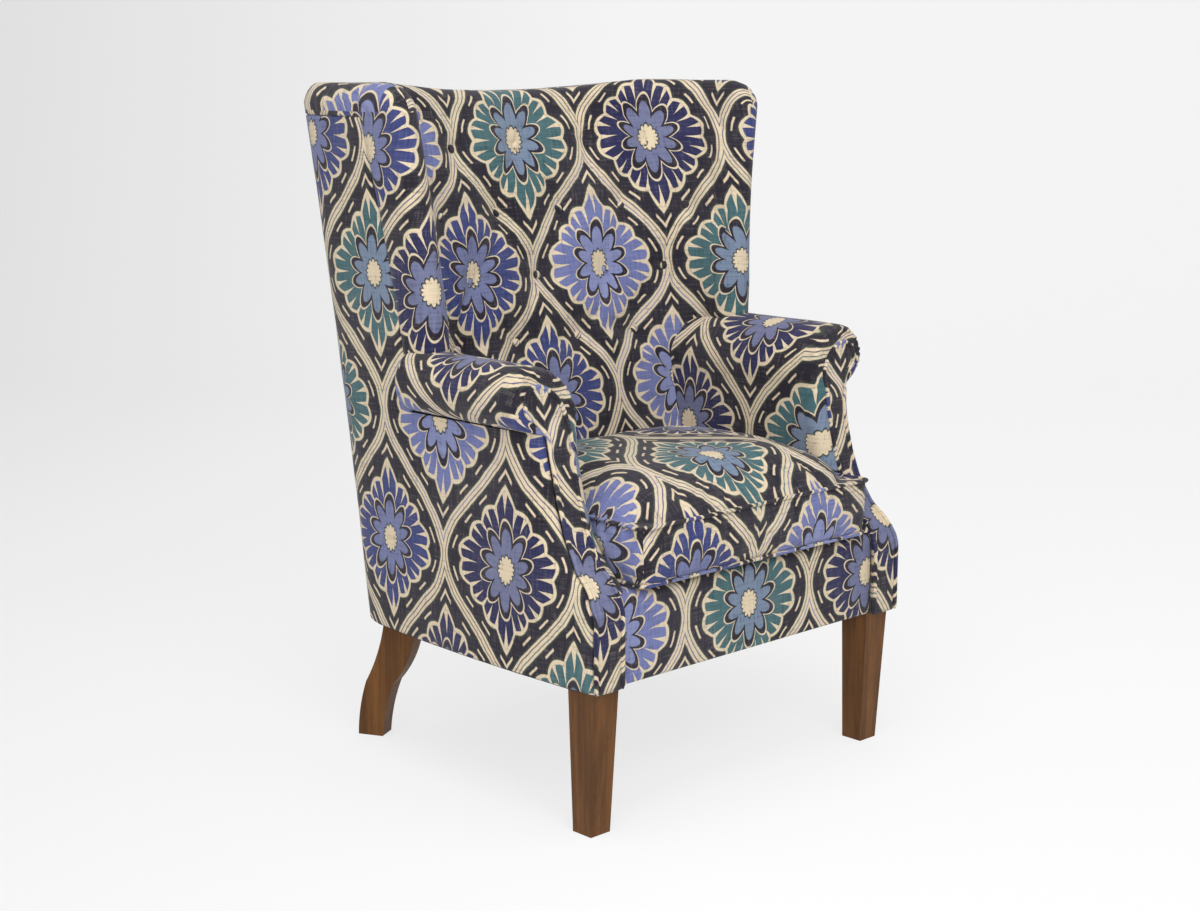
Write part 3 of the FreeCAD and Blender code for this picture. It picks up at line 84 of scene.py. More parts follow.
def arc_points(start, end, bulge, count):
    """Points of an arc in a plane, bulging to the left of the way it runs."""
    start, end = np.array(start, float), np.array(end, float)
    chord = end - start
    half = np.hypot(*chord) / 2
    ahead = chord / (2 * half)
    left = np.array([-ahead[1], ahead[0]])
    radius = (half * half + bulge * bulge) / (2 * bulge)
    centre = (start + end) / 2 + left * (bulge - radius)
    reach = math.asin(clamp(half / abs(radius), -1, 1))
    if abs(bulge) > half:
        reach = math.pi - reach
    turns = np.linspace(-reach, reach, count)
    lift = radius * np.cos(turns)
    along = abs(radius) * np.sin(turns)
    return centre + along[:, None] * ahead + lift[:, None] * left


def run_length(points):
    points = np.asarray(points, float)
    return np.r_[0, np.cumsum(np.linalg.norm(np.diff(points, axis=0), axis=1))]


def resample(points, shares):
    """Points of a run at shares of its length."""
    points = np.asarray(points, float)
    steps = run_length(points)
    places = np.asarray(shares, float) * steps[-1]
    return np.stack([np.interp(places, steps, points[:, i]) for i in range(points.shape[1])], 1)


def unit(vectors):
    """The same directions, each one long."""
    return vectors / np.maximum(np.linalg.norm(vectors, axis=-1, keepdims=True), 1e-6)


def show(name, thing):
    """Puts a mesh, lamp or camera into the scene."""
    piece = bpy.data.objects.new(name, thing)
    bpy.context.scene.collection.objects.link(piece)
    return piece


def make_piece(name, points, faces, cloth, material, body="frame", slot="printed_linen",
               weld=0.0):
    """A mesh from points in millimetres, with the cloth's lay, in metres, as its UV map."""
    points = np.array(points, float)
    points[:, 1] += FRONT_PLANE
    mesh = bpy.data.meshes.new(name)
    mesh.from_pydata((points / 1000).tolist(), [], [tuple(f) for f in faces])
    corners = np.zeros(len(mesh.loops), int)
    mesh.loops.foreach_get("vertex_index", corners)
    lay = np.array(cloth, float) / 1000
    mesh.uv_layers.new(name="Cloth").data.foreach_set("uv", lay[corners].astype("f4").ravel())
    shaper = bmesh.new()
    shaper.from_mesh(mesh)
    if weld:
        bmesh.ops.remove_doubles(shaper, verts=shaper.verts, dist=weld / 1000)
    bmesh.ops.recalc_face_normals(shaper, faces=shaper.faces)
    for face in shaper.faces:
        face.smooth = True
    shaper.to_mesh(mesh)
    shaper.free()
    mesh.materials.append(material)
    piece = show(name, mesh)
    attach(piece, body)
    return piece


def grid_faces(rows, columns, first=0, wrap=False):
    faces = []
    for r in range(rows - 1):
        for c in range(columns if wrap else columns - 1):
            a = first + r * columns + c
            b = first + r * columns + (c + 1) % columns
            faces.append((a, b, b + columns, a + columns))
    return faces


def grid_piece(name, grids, material, **words):
    """A piece from one or more grids of points, each with the lay of its cloth."""
    points, faces, lays = [], [], []
    for grid, lay in grids:
        faces += grid_faces(*np.shape(grid)[:2], first=sum(len(part) for part in points))
        points.append(np.reshape(grid, (-1, 3)))
        lays.append(np.reshape(lay, (-1, 2)))
    return make_piece(name, np.concatenate(points), faces, np.concatenate(lays), material, **words)


def laid_grid(rows, columns, place):
    """Grid of points and of their lay on the cloth, as place gives both for a row and column."""
    spots = [[place(row, column) for column in columns] for row in rows]
    return [np.array([[spot[i] for spot in line] for line in spots]) for i in (0, 1)]


def thicken(piece, thickness):
    """Gives cloth its thickness, away from the side that shows."""
    layer = piece.modifiers.new("Cloth thickness", "SOLIDIFY")
    layer.thickness, layer.offset = thickness, -1


LAST_FRAME = 20


def inflate(piece, pinned, pressure, slack, cap):
    """Fills out a cover by cloth simulation between its pinned seams, and keeps that shape.

    Slack is the share by which the cloth is larger than its frame; no point moves more than
    cap millimetres.
    """
    stage = bpy.context.scene
    group = piece.vertex_groups.new(name="Pinned seams")
    group.add(np.flatnonzero(pinned).tolist(), 1.0, "REPLACE")
    filling = piece.modifiers.new("Filling", "CLOTH")
    cloth = filling.settings
    cloth.quality, cloth.mass = 6, 0.3
    cloth.tension_stiffness = cloth.compression_stiffness = 15
    cloth.shear_stiffness, cloth.bending_stiffness = 5, 0.5
    cloth.use_pressure, cloth.uniform_pressure_force = True, pressure
    cloth.shrink_min = -slack
    cloth.vertex_group_mass = group.name
    cloth.effector_weights.gravity = 0
    filling.collision_settings.use_collision = False
    filling.point_cache.frame_start, filling.point_cache.frame_end = 1, LAST_FRAME
    for number in range(1, LAST_FRAME + 1):
        stage.frame_set(number)
    swollen = piece.evaluated_get(bpy.context.evaluated_depsgraph_get()).data
    before = spots_of(piece.data)
    moved = spots_of(swollen) - before
    reach = np.linalg.norm(moved, axis=1)
    moved *= np.minimum(1.0, cap / np.maximum(reach, 1e-6))[:, None]
    piece.modifiers.remove(filling)
    piece.vertex_groups.remove(group)
    put_spots(piece.data, before + moved)
    stage.frame_set(1)


def spots_of(mesh):
    """Points of a mesh in millimetres, one row each."""
    spots = np.zeros(3 * len(mesh.vertices), "f4")
    mesh.vertices.foreach_get("co", spots)
    return spots.reshape(-1, 3).astype(float) * 1000


def put_spots(mesh, spots):
    mesh.vertices.foreach_set("co", (spots / 1000).astype("f4").ravel())
    mesh.update()


def tube(name, path, radius, material, cloth_at, closed=False, **words):
    """Covered cord along a run of points, cut from the print beside it."""
    path = np.asarray(path, float)
    count, around = len(path), 12
    if closed:
        along = np.roll(path, -1, 0) - np.roll(path, 1, 0)
    else:
        along = np.r_[path[1:], path[-1:]] - np.r_[path[:1], path[:-1]]
    along = unit(along)
    side = unit(np.cross(along, np.array([0.31, 0.22, 0.92])))
    up = np.cross(side, along)
    angles = 2 * math.pi * np.arange(around) / around
    points, cloth = [], []
    for i in range(count):
        taper = 1.0 if closed else min(1.0, 0.35 + 0.65 * min(i, count - 1 - i))
        size = radius * taper * (1 + 0.04 * ripple(*path[i], 7.0))
        for angle in angles:
            points.append(path[i] + size * (math.cos(angle) * side[i] + math.sin(angle) * up[i]))
            cloth.append(cloth_at(*points[-1]))
    faces = grid_faces(count, around, wrap=True)
    last = (count - 1) * around
    if closed:
        faces += [(last + k, last + (k + 1) % around, (k + 1) % around, k) for k in range(around)]
    else:
        faces.append(tuple(range(around))[::-1])
        faces.append(tuple(last + k for k in range(around)))
    return make_piece(name, points, faces, cloth, material, **words)


# Materials. Each builder makes shader nodes; colours are linear values.
def colour(code):
    """Linear colour of a hex code."""
    parts = [int(code[i:i + 2], 16) / 255 for i in (0, 2, 4)]
    return tuple(p / 12.92 if p <= 0.04045 else ((p + 0.055) / 1.055) ** 2.4 for p in parts) + (1,)


class Term:
    """A number that nodes work out: sums written with it add the nodes for them."""

    def __init__(self, bench, socket):
        self.bench, self.socket = bench, socket

    def __add__(self, other):
        return self.bench.math("ADD", self, other)

    def __sub__(self, other):
        return self.bench.math("SUBTRACT", self, other)

    def __rsub__(self, other):
        return self.bench.math("SUBTRACT", other, self)

    def __mul__(self, other):
        return self.bench.math("MULTIPLY", self, other)

    def __truediv__(self, other):
        return self.bench.math("DIVIDE", self, other)

    def __abs__(self):
        return self.bench.math("ABSOLUTE", self)


class Bench:
    """Adds nodes to a node tree and joins them up."""

    def __init__(self, tree):
        self.tree = tree

    def add(self, kind, feeds=None, **settings):
        node = self.tree.nodes.new(kind)
        for name, value in settings.items():
            setattr(node, name, value)
        for socket, value in (feeds or {}).items():
            self.feed(node.inputs[socket], value)
        return node

    def feed(self, socket, value):
        value = value.socket if isinstance(value, Term) else value
        if isinstance(value, bpy.types.NodeSocket):
            self.tree.links.new(value, socket)
        else:
            socket.default_value = value

    def math(self, operation, *values, limit=False):
        feeds = dict(enumerate(values))
        node = self.add("ShaderNodeMath", feeds, operation=operation, use_clamp=limit)
        return Term(self, node.outputs[0])

    def ramp(self, value, low, high, start=0.0, end=1.0):
        """Start below low and end above high, evenly between."""
        feeds = dict(enumerate((value, low, high, start, end)))
        return Term(self, self.add("ShaderNodeMapRange", feeds, clamp=True).outputs[0])

    def blend(self, share, a, b):
        return self.add("ShaderNodeMix", {0: share, 6: a, 7: b}, data_type="RGBA").outputs[2]

    def cloudy(self, place, scale, detail=2.0, rough=0.5):
        node = self.add("ShaderNodeTexNoise", {"Vector": place, "Scale": scale, "Detail": detail,
                                               "Roughness": rough})
        return Term(self, node.outputs["Fac"])

    def stretched(self, place, across, along, depth=1.0):
        feeds = {0: place, 1: (across, along, depth)}
        return self.add("ShaderNodeVectorMath", feeds, operation="MULTIPLY").outputs[0]

    def own_place(self):
        return self.add("ShaderNodeTexCoord").outputs["Object"]

    def bump(self, shader, height, strength, distance):
        node = self.add("ShaderNodeBump", {"Height": height, "Strength": strength,
                                           "Distance": distance})
        self.feed(shader.inputs["Normal"], node.outputs[0])

    def mix_shaders(self, share, first, second, output):
        both = self.add("ShaderNodeMixShader", {0: share, 1: first.outputs[0],
                                                2: second.outputs[0]})
        self.feed(output.inputs[0], both.outputs[0])


def new_group(name, takes, gives):
    tree = bpy.data.node_groups.new(name, "ShaderNodeTree")
    for label, kind, value in takes:
        socket = tree.interface.new_socket(name=label, in_out="INPUT", socket_type=kind)
        if value is not None:
            socket.default_value = value
    for label, kind in gives:
        tree.interface.new_socket(name=label, in_out="OUTPUT", socket_type=kind)
    bench = Bench(tree)
    return tree, bench, bench.add("NodeGroupInput").outputs, bench.add("NodeGroupOutput").inputs


def make_weave():
    """Slubby plain weave: threads both ways, some of them thicker."""
    tree, b, takes, gives = new_group(
        "plain weave", [("Vector", "NodeSocketVector", None), ("Slub", "NodeSocketFloat", 1.0)],
        [("Shade", "NodeSocketFloat"), ("Height", "NodeSocketFloat")])
    place = takes["Vector"]
    warp = b.cloudy(b.stretched(place, 1, 0.045), 820, 1.0)
    weft = b.cloudy(b.stretched(place, 0.04, 1), 760, 1.0)
    warp_slub = b.cloudy(b.stretched(place, 1, 0.09), 230, 1.5)
    weft_slub = b.cloudy(b.stretched(place, 0.07, 1), 250, 1.5)
    both = (warp_slub + weft_slub) * takes["Slub"] + (warp + weft)
    # Shade rises and falls with Height; the materials darken colour where it is low, as painted
    # shade between the threads.
    b.feed(gives["Shade"], b.ramp(both, 1.45, 2.55))
    b.feed(gives["Height"], both)
    return tree


def make_ogee():
    """Half-drop ogee lattice with a scalloped medallion in each cell; its sizes are metres."""
    ribbon, outline, rim, vein = 0.0098, 0.0013, 0.0075, 0.0035
    dash_row, flower_rim, line_soft, edge_soft = 0.019, 0.010, 0.0008, 0.0009
    tree, b, takes, gives = new_group(
        "ogee print",
        [("Vector", "NodeSocketVector", None), ("Width", "NodeSocketFloat", 0.27),
         ("Height", "NodeSocketFloat", 0.40)], [("Color", "NodeSocketColor")])
    # A slight wander, as of blocks cut by hand.
    wander = b.add("ShaderNodeTexNoise", {"Vector": takes["Vector"], "Scale": 11.0, "Detail": 3.0})
    drift = b.add("ShaderNodeVectorMath", {0: wander.outputs["Color"], 1: (0.014, 0.014, 0.0),
                                           2: takes["Vector"]}, operation="MULTIPLY_ADD")
    parts = b.add("ShaderNodeSeparateXYZ", {0: drift.outputs[0]}).outputs
    width, height = Term(b, takes["Width"]), Term(b, takes["Height"])
    x, y = Term(b, parts[0]) / width, Term(b, parts[1]) / height
    column, row = b.math("ROUND", x), b.math("ROUND", y)
    turn = y * (2 * math.pi)
    edge = b.math("COSINE", turn) * 0.25 + 0.25 - abs(x - column)
    other = b.math("LESS_THAN", edge, 0.0)
    slope = b.math("SINE", turn) * (0.5 * math.pi) * (width / height)
    gap = abs(edge) * width / b.math("SQRT", slope * slope + 1.0)
    # Place within the cell, measured from the middle of its medallion.
    first = 1.0 - other
    middle_x = column * first + (b.math("FLOOR", x) + 0.5) * other
    middle_y = row * first + (b.math("FLOOR", y) + 0.5) * other
    local_x, local_y = (x - middle_x) * width, (y - middle_y) * height
    round_y = local_y * 0.78
    reach = b.math("SQRT", local_x * local_x + round_y * round_y)
    angle = b.math("ARCTAN2", local_y, local_x)

    def waves(number):
        return abs(b.math("SINE", angle * number))

    # Bands in from the lattice line: ribbon, outline, ground, then the medallion.
    scallop = waves(7.0)
    leaf = gap - (scallop * -0.010 + 0.038)
    flower = waves(5.0) * 0.020 + 0.036 - reach
    heart = scallop * 0.004 + 0.014 - reach
    spike = waves(14.0) * -0.052 + 0.036 - leaf
    # Four blues and greens, taken in turn.
    order = middle_y * 2.0 + middle_x + other * 0.5
    hues = b.add("ShaderNodeValToRGB", {0: b.math("FRACT", order * 0.25) + 0.02})
    hues.color_ramp.interpolation = "CONSTANT"
    stops = [(0.0, "353e72"), (0.24, "6a72a3"), (0.49, "3d6166"), (0.74, "22234b")]
    while len(hues.color_ramp.elements) < len(stops):
        hues.color_ramp.elements.new(1.0)
    for element, (spot, code) in zip(hues.color_ramp.elements, stops):
        element.position, element.color = spot, colour(code)
    hue = hues.outputs[0]
    sand, ground, line = colour("d6c5a8"), colour("1f1a27"), colour("2f3731")
    pale = b.blend(0.42, hue, colour("989ec2"))

    def crisp(value, place, soft=edge_soft):
        return b.ramp(value, place - soft, place + soft)

    def line_at(value, place, half=outline):
        return b.ramp(abs(value - place), half + line_soft, half - line_soft / 2)

    dashes = line_at(gap, dash_row, 0.0016) * b.ramp(scallop, 0.72, 0.8)
    inside = crisp(leaf, rim)
    painted = sand
    for mask, paint in (
            (crisp(gap, ribbon), ground), (line_at(gap, vein, 0.0006), hue),
            (line_at(gap, ribbon), line), (dashes, sand), (crisp(leaf, 0.0), sand),
            (line_at(leaf, 0.0), line), (inside, hue), (inside * crisp(spike, 0.0, 0.0007), sand),
            (crisp(flower, 0.0), ground), (line_at(flower, 0.0, 0.0012), sand),
            (crisp(flower, flower_rim), pale), (crisp(heart, 0.0), sand),
            (line_at(heart, 0.0, 0.001), line)):
        painted = b.blend(mask, painted, paint)
    b.feed(gives["Color"], painted)
    return tree


WEAVE, OGEE = make_weave(), make_ogee()


def start_material(name, settings):
    """A material with a Principled shader and its even settings."""
    material = bpy.data.materials.new(name)
    material.use_nodes = True
    material.node_tree.nodes.clear()
    b = Bench(material.node_tree)
    shader = b.add("ShaderNodeBsdfPrincipled", settings)
    output = b.add("ShaderNodeOutputMaterial", {0: shader.outputs[0]})
    return material, b, shader, output


def printed_linen(name, across, up):
    """Linen with the ogee print, softened as if washed, laid out along the piece's cloth."""
    material, b, shader, _ = start_material(
        name, {"Specular IOR Level": 0.25, "Sheen Weight": 0.12, "Sheen Roughness": 0.5})
    cloth = b.add("ShaderNodeUVMap", uv_map="Cloth").outputs[0]
    shift = b.add("ShaderNodeMapping", {"Vector": cloth, "Location": (across, up, 0)})
    ogee = b.add("ShaderNodeGroup", node_tree=OGEE)
    b.feed(ogee.inputs["Vector"], shift.outputs[0])
    weave = b.add("ShaderNodeGroup", node_tree=WEAVE)
    b.feed(weave.inputs["Vector"], cloth)
    dyed, shade = ogee.outputs["Color"], weave.outputs["Shade"]
    thread = b.blend(0.3, dyed, colour("b0a79c"))
    worn = b.blend(b.ramp(shade, 0.55, 0.95, 0.0, 0.42), dyed, thread)
    # Painted shade: up to 40% towards near-black where the weave is lowest, between the threads.
    dark = b.blend(b.ramp(shade, 0.45, 0.1, 0.0, 0.4), worn, colour("19161d"))
    faded = b.ramp(b.cloudy(cloth, 6.5, 3.0), 0.4, 0.75, 0.0, 0.07)
    b.feed(shader.inputs["Base Color"], b.blend(faded, dark, colour("8f8994")))
    b.feed(shader.inputs["Roughness"], b.ramp(shade, 0.0, 1.0, 0.95, 0.8))
    b.bump(shader, weave.outputs["Height"], 0.35, 0.0006)
    return material


def stained_wood(name, light, dark, gloss):
    """Straight-grained stained wood, with pores and slightly rubbed colour."""
    material, b, shader, _ = start_material(name, {"Specular IOR Level": 0.28})
    place = b.own_place()
    broad = b.cloudy(b.stretched(place, 1, 1, 0.06), 62, 4.0, 0.6)
    fine = b.cloudy(b.stretched(place, 1, 1, 0.03), 420, 2.0, 0.6)
    pores = b.ramp(b.cloudy(b.stretched(place, 1, 1, 0.05), 900, 1.0), 0.62, 0.72)
    grain = b.blend(b.ramp(broad, 0.35, 0.68), colour(dark), colour(light))
    grain = b.blend(b.ramp(fine, 0.4, 0.7, 0.0, 0.4), grain, colour(dark))
    grain = b.blend(pores * 0.5, grain, colour("2a1a10"))
    b.feed(shader.inputs["Base Color"], grain)
    b.feed(shader.inputs["Roughness"], b.ramp(fine, 0.3, 0.8, gloss - 0.06, gloss + 0.12))
    b.bump(shader, fine - pores, 0.12, 0.0006)
    return material


def plain_cloth(name, code, scale=1.0, rough=0.9):
    """Undyed or black utility cloth with a visible weave."""
    material, b, shader, _ = start_material(name, {"Roughness": rough})
    weave = b.add("ShaderNodeGroup", node_tree=WEAVE)
    b.feed(weave.inputs["Vector"], b.stretched(b.own_place(), scale, scale, scale))
    # Painted shade: the colour drops to half where the weave is low, between the threads.
    dark = tuple(0.5 * c for c in colour(code)[:3]) + (1,)
    b.feed(shader.inputs["Base Color"], b.blend(weave.outputs["Shade"], dark, colour(code)))
    b.bump(shader, weave.outputs["Height"], 0.4, 0.0008)
    return material


def brushed_metal(name, code, rough):
    material, b, shader, _ = start_material(name, {"Metallic": 1.0})
    marks = b.cloudy(b.stretched(b.own_place(), 1, 0.1, 1), 900, 2.0)
    b.feed(shader.inputs["Base Color"], b.blend(marks, colour(code), colour("d8d4cc")))
    b.feed(shader.inputs["Roughness"], b.ramp(marks, 0.3, 0.7, rough - 0.1, rough + 0.1))
    return material


BACK_LINEN = printed_linen("inside back linen", 0.135, 0.05)
ARM_LINEN = printed_linen("arm linen", 0.02, 0.06)
FACING_LINEN = printed_linen("facing linen", 0.22, 0.02)
CUSHION_LINEN = printed_linen("cushion linen", 0.135, 0.1)
SIDE_LINEN = printed_linen("outside panel linen", 0.09, 0.03)
SLOT_LOOKS = {
    "printed_linen": ARM_LINEN,
    "leg_wood": stained_wood("stained leg wood", "764b20", "4f2f0c", 0.52),
    "frame_wood": stained_wood("beech frame wood", "c39b6b", "9c7549", 0.6),
    "webbing": plain_cloth("jute webbing", "9b7d4f"),
    "hessian": plain_cloth("hessian", "a68c63", 0.7),
    "dust_cloth": plain_cloth("black dust cloth", "26252a", 1.4),
    "filling": plain_cloth("filling wadding", "d9d3c6", 2.0),
    "zip_tape": plain_cloth("zip tape", "3a3540", 2.5, 0.7),
    "zip_metal": brushed_metal("zip brass", "8d7543", 0.35),
    "steel": brushed_metal("stud steel", "777a7d", 0.4)}


def dress_carried_parts():
    """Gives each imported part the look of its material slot."""
    slots = {part["node"]: part["material_slot"] for part in frame["record"]["subparts"]}
    for name, piece in frame["nodes"].items():
        look = SLOT_LOOKS[slots[name]]
        for place in piece.material_slots:
            place.material = look
        if not piece.material_slots:
            piece.data.materials.append(look)


# The chair's outer form, and the hollow between the wings.
def rise_at(z):
    return (z - BASE_Z) / (HEIGHT - BASE_Z)


def half_width(z):
    t = rise_at(z)
    return mix(BASE_HALF, TOP_HALF, FLARE * t + (1 - FLARE) * t * t)


def rear_at(z):
    t = rise_at(z)
    return DEPTH + LEAN * ((1 + LEAN_CURVE) * t - LEAN_CURVE * t * t)


def pinch_at(z):
    return math.sin(math.pi * clamp((rise_at(z) - 0.3) / 0.7))


def side_at(y, z):
    """Half-width of the outside at a distance from the front."""
    tuck = NECK_TUCK * clamp((z - 322) / 100)
    corner_y = rear_at(z) - CORNER
    bow = SIDE_BOW * (1 - 0.7 * rise_at(z)) - PINCH * pinch_at(z)
    knots = [(BASE_HALF - tuck, -60.0), (half_width(z) + bow, 0.5 * corner_y),
             (half_width(z), corner_y)]
    total = 0
    for x, here in knots:
        for _, there in knots:
            if there != here:
                x *= (y - there) / (here - there)
        total += x
    return total


def wing_front_at(z):
    lean = clamp((z - ARM_TOP - 50) / (HEIGHT - ARM_TOP - 95))
    over = max(z - (HEIGHT - WING_CORNER), 0)
    drawn = WING_CORNER - math.sqrt(WING_CORNER ** 2 - over ** 2)
    return WING_FRONT + WING_LEAN * lean + PINCH * pinch_at(z) + drawn


def inside_back_at(z):
    return SEAT_BACK + BACK_SLOPE * max(z - DECK - 90, 0)


def front_y(z):
    """The swept front of the arms seen from the side."""
    heights = [200, 322, 334, 350, 363, 381, 423, 463, 498, 530, 565, 620, 716]
    reaches = [-3, -3, 1, 9, 20, 42, 68, 83, 92, 99, 102.6, 108.3, 118]
    return float(np.interp(z, heights, reaches))


def seam_y(z):
    """The upright seam where the wing's covering meets the outside panel."""
    return mix(SEAM_FOOT, SEAM_TOP, clamp((z - PANEL_TOP) / (SEAM_Z - PANEL_TOP)))


SHOULDER = arc_points((ARM_X, ARM_TOP - 91), (ROLL_X, ARM_TOP), 29.8, 24)


def arm_top_at(x):
    """Height of the arm's top at a distance from the middle."""
    x = abs(x)
    if x >= ROLL_X:
        return ROLL_Z + math.sqrt(max(ROLL_R ** 2 - (x - ROLL_X) ** 2, 0))
    return float(np.interp(x, SHOULDER[:, 0], SHOULDER[:, 1]))


def hollow_at(z):
    """Width, depth and bow of the rounding between the back and a wing."""
    share = clamp((z - ARM_TOP + 96) / 240)
    return mix(60, 155, share), mix(60, 124, share), mix(2, 16, share)


def rear_corner(z, reach, count):
    """Round the rear corner of the plan at a height, after the point where it starts."""
    wide, rear = half_width(z), rear_at(z)
    return [(wide - CORNER + reach * math.cos(a), rear - CORNER + reach * math.sin(a))
            for a in quarter(count, 1)]


# The wall of the back and wings: paired lines round its inside and its outside.
NOSE_STEPS, WING_STEPS, TURN_STEPS, BACK_STEPS, SEAM_STEPS = 7, 6, 20, 34, 9
TUCK = 5.0


def wall_lines(z):
    """Inside and outside of the wall at a height, from a wing's nose to the middle of the back."""
    front = wing_front_at(z)
    half = WING / 2
    side = side_at(front + half, z)
    width, depth, bow = hollow_at(z)
    back, wide, rear = inside_back_at(z), half_width(z), rear_at(z)
    inner = side - WING
    turn_y = back - bow - depth
    seam = min(seam_y(z), rear - CORNER - 20)
    inside, outside = [], []
    for angle in quarter(NOSE_STEPS):
        sweep, lift = half * math.sin(angle), half * math.cos(angle)
        inside.append((side - half - sweep, front + half - lift))
        outside.append((side - half + sweep, front + half - lift))
    for share in np.linspace(0, 1, WING_STEPS)[1:]:
        inside.append((inner, mix(front + half, turn_y, share)))
        y = mix(front + half, seam - 1.5, share)
        outside.append((side_at(y, z), y))
    for angle in quarter(TURN_STEPS, 1):
        inside.append((inner - width * (1 - math.cos(angle)), turn_y + depth * math.sin(angle)))
    # Behind the seam the outside is tucked in, under the panels.
    outside.append((side_at(seam, z) - 3.0, seam))
    for share in np.linspace(0, 1, SEAM_STEPS - 1):
        y = mix(seam + 3, rear - CORNER, share)
        outside.append((side_at(y, z) - TUCK, y))
    outside += rear_corner(z, CORNER - TUCK, TURN_STEPS - SEAM_STEPS)
    for share in np.linspace(0, 1, BACK_STEPS)[1:]:
        x = (inner - width) * (1 - share)
        inside.append((x, back - bow * (x / (inner - width)) ** 2))
        outside.append(((wide - CORNER) * (1 - share), rear - TUCK))
    return np.array(inside), np.array(outside)


def full_outside(z, points):
    """The outside line without its step behind the seam."""
    grown = points.copy()
    wide, rear = half_width(z), rear_at(z)
    for i, (x, y) in enumerate(points):
        if i < NOSE_STEPS + WING_STEPS - 1:
            continue
        if y <= rear - CORNER + 0.01:
            grown[i] = (side_at(y, z), y)
        elif x > wide - CORNER + 0.01:
            away = np.array([x - wide + CORNER, y - rear + CORNER])
            grown[i] = np.array([wide - CORNER, rear - CORNER]) + away * CORNER / np.hypot(*away)
        else:
            grown[i] = (x, rear)
    return grown


BUTTON_ROWS = {632: (0.46, 1.33), 733: (0.0, 1.0, 1.76), 834: (0.46, 1.33, 2.0),
               935: (0.0, 1.0, 1.76)}
BUTTON_SPREAD, DIMPLE, HOLLOW, CREASE, FULLNESS = 143.0, 4.5, 2.0, 0.5, 2.0


def on_inside(x, z):
    """Point on the inside of the back, by distance across and height."""
    width, depth, bow = hollow_at(z)
    front = wing_front_at(z)
    inner = side_at(front + WING / 2, z) - WING
    back = inside_back_at(z)
    flat = inner - width
    if abs(x) <= flat:
        return np.array([x, back - bow * (x / flat) ** 2, z])
    share = clamp((abs(x) - flat) / width)
    return np.array([x, back - bow - depth + depth * math.sqrt(1 - share * share), z])


def inside_facing(x, z):
    """Direction that the inside of the back faces."""
    across = on_inside(x + 1, z) - on_inside(x - 1, z)
    up = on_inside(x, z + 1) - on_inside(x, z - 1)
    out = unit(np.cross(across, up))
    return out if out[1] < 0 else -out


BUTTONS = [(way * share * BUTTON_SPREAD, z) for z, shares in BUTTON_ROWS.items()
           for share in shares for way in ((1, -1) if share else (1,))]
BUTTON_SPOTS = np.array([on_inside(x, z) for x, z in BUTTONS])


def tufting(point):
    """How far the cover stands in front of its plain line: drawn in at the buttons."""
    away = np.linalg.norm(BUTTON_SPOTS - point, axis=1)
    nearest = int(np.argmin(away))
    near = away[nearest]
    dimple = -DIMPLE * math.exp(-(near / 12.0) ** 2) - HOLLOW * math.exp(-(near / 36.0) ** 2)
    spot = BUTTON_SPOTS[nearest]
    angle = math.atan2(point[2] - spot[2], point[0] - spot[0])
    creases = CREASE * math.cos(7 * angle + nearest) * math.exp(-((near - 17) / 9.0) ** 2)
    fullness = FULLNESS + 1.3 * ripple(*point, 130.0) + 0.45 * ripple(*point, 34.0)
    return dimple + creases + fullness


def facings(grid):
    """Directions square to a grid of points."""
    return unit(np.cross(np.gradient(grid, axis=1), np.gradient(grid, axis=0)))


def over_top(start, end, count):
    """Points over the top: a rounded edge each side of a slightly crowned middle."""
    span = np.linalg.norm(end - start)
    ahead = (end - start) / max(span, 1e-6)
    over = max(WING_CORNER - max(start[1] - wing_front_at(SHOULDER_Z), 0), 0)
    reach = math.sqrt(max(WING_CORNER ** 2 - over ** 2, 0))
    rise = max(min(HEIGHT, HEIGHT - WING_CORNER + reach) - SHOULDER_Z, 0)
    dip = TOP_DIP * max(1 - (0.5 * (start[0] + end[0]) / DIP_REACH) ** 2, 0)
    rise = max(rise - dip, 0.0)
    inset, rounded = min(24.0, 0.46 * span), 0.36
    points = []
    for place in np.arange(1, count + 1) / (count + 1):
        angle = min(place, 1 - place) / rounded * math.pi / 2
        turned, lift = inset * (1 - math.cos(angle)), math.sin(angle)
        if place < rounded:
            offset = turned
        elif place > 1 - rounded:
            offset = span - turned
        else:
            offset = mix(inset, span - inset, (place - rounded) / (1 - 2 * rounded))
            lift = 1.0
        points.append(start + ahead * offset + np.array([0, 0, rise * lift]))
    return points


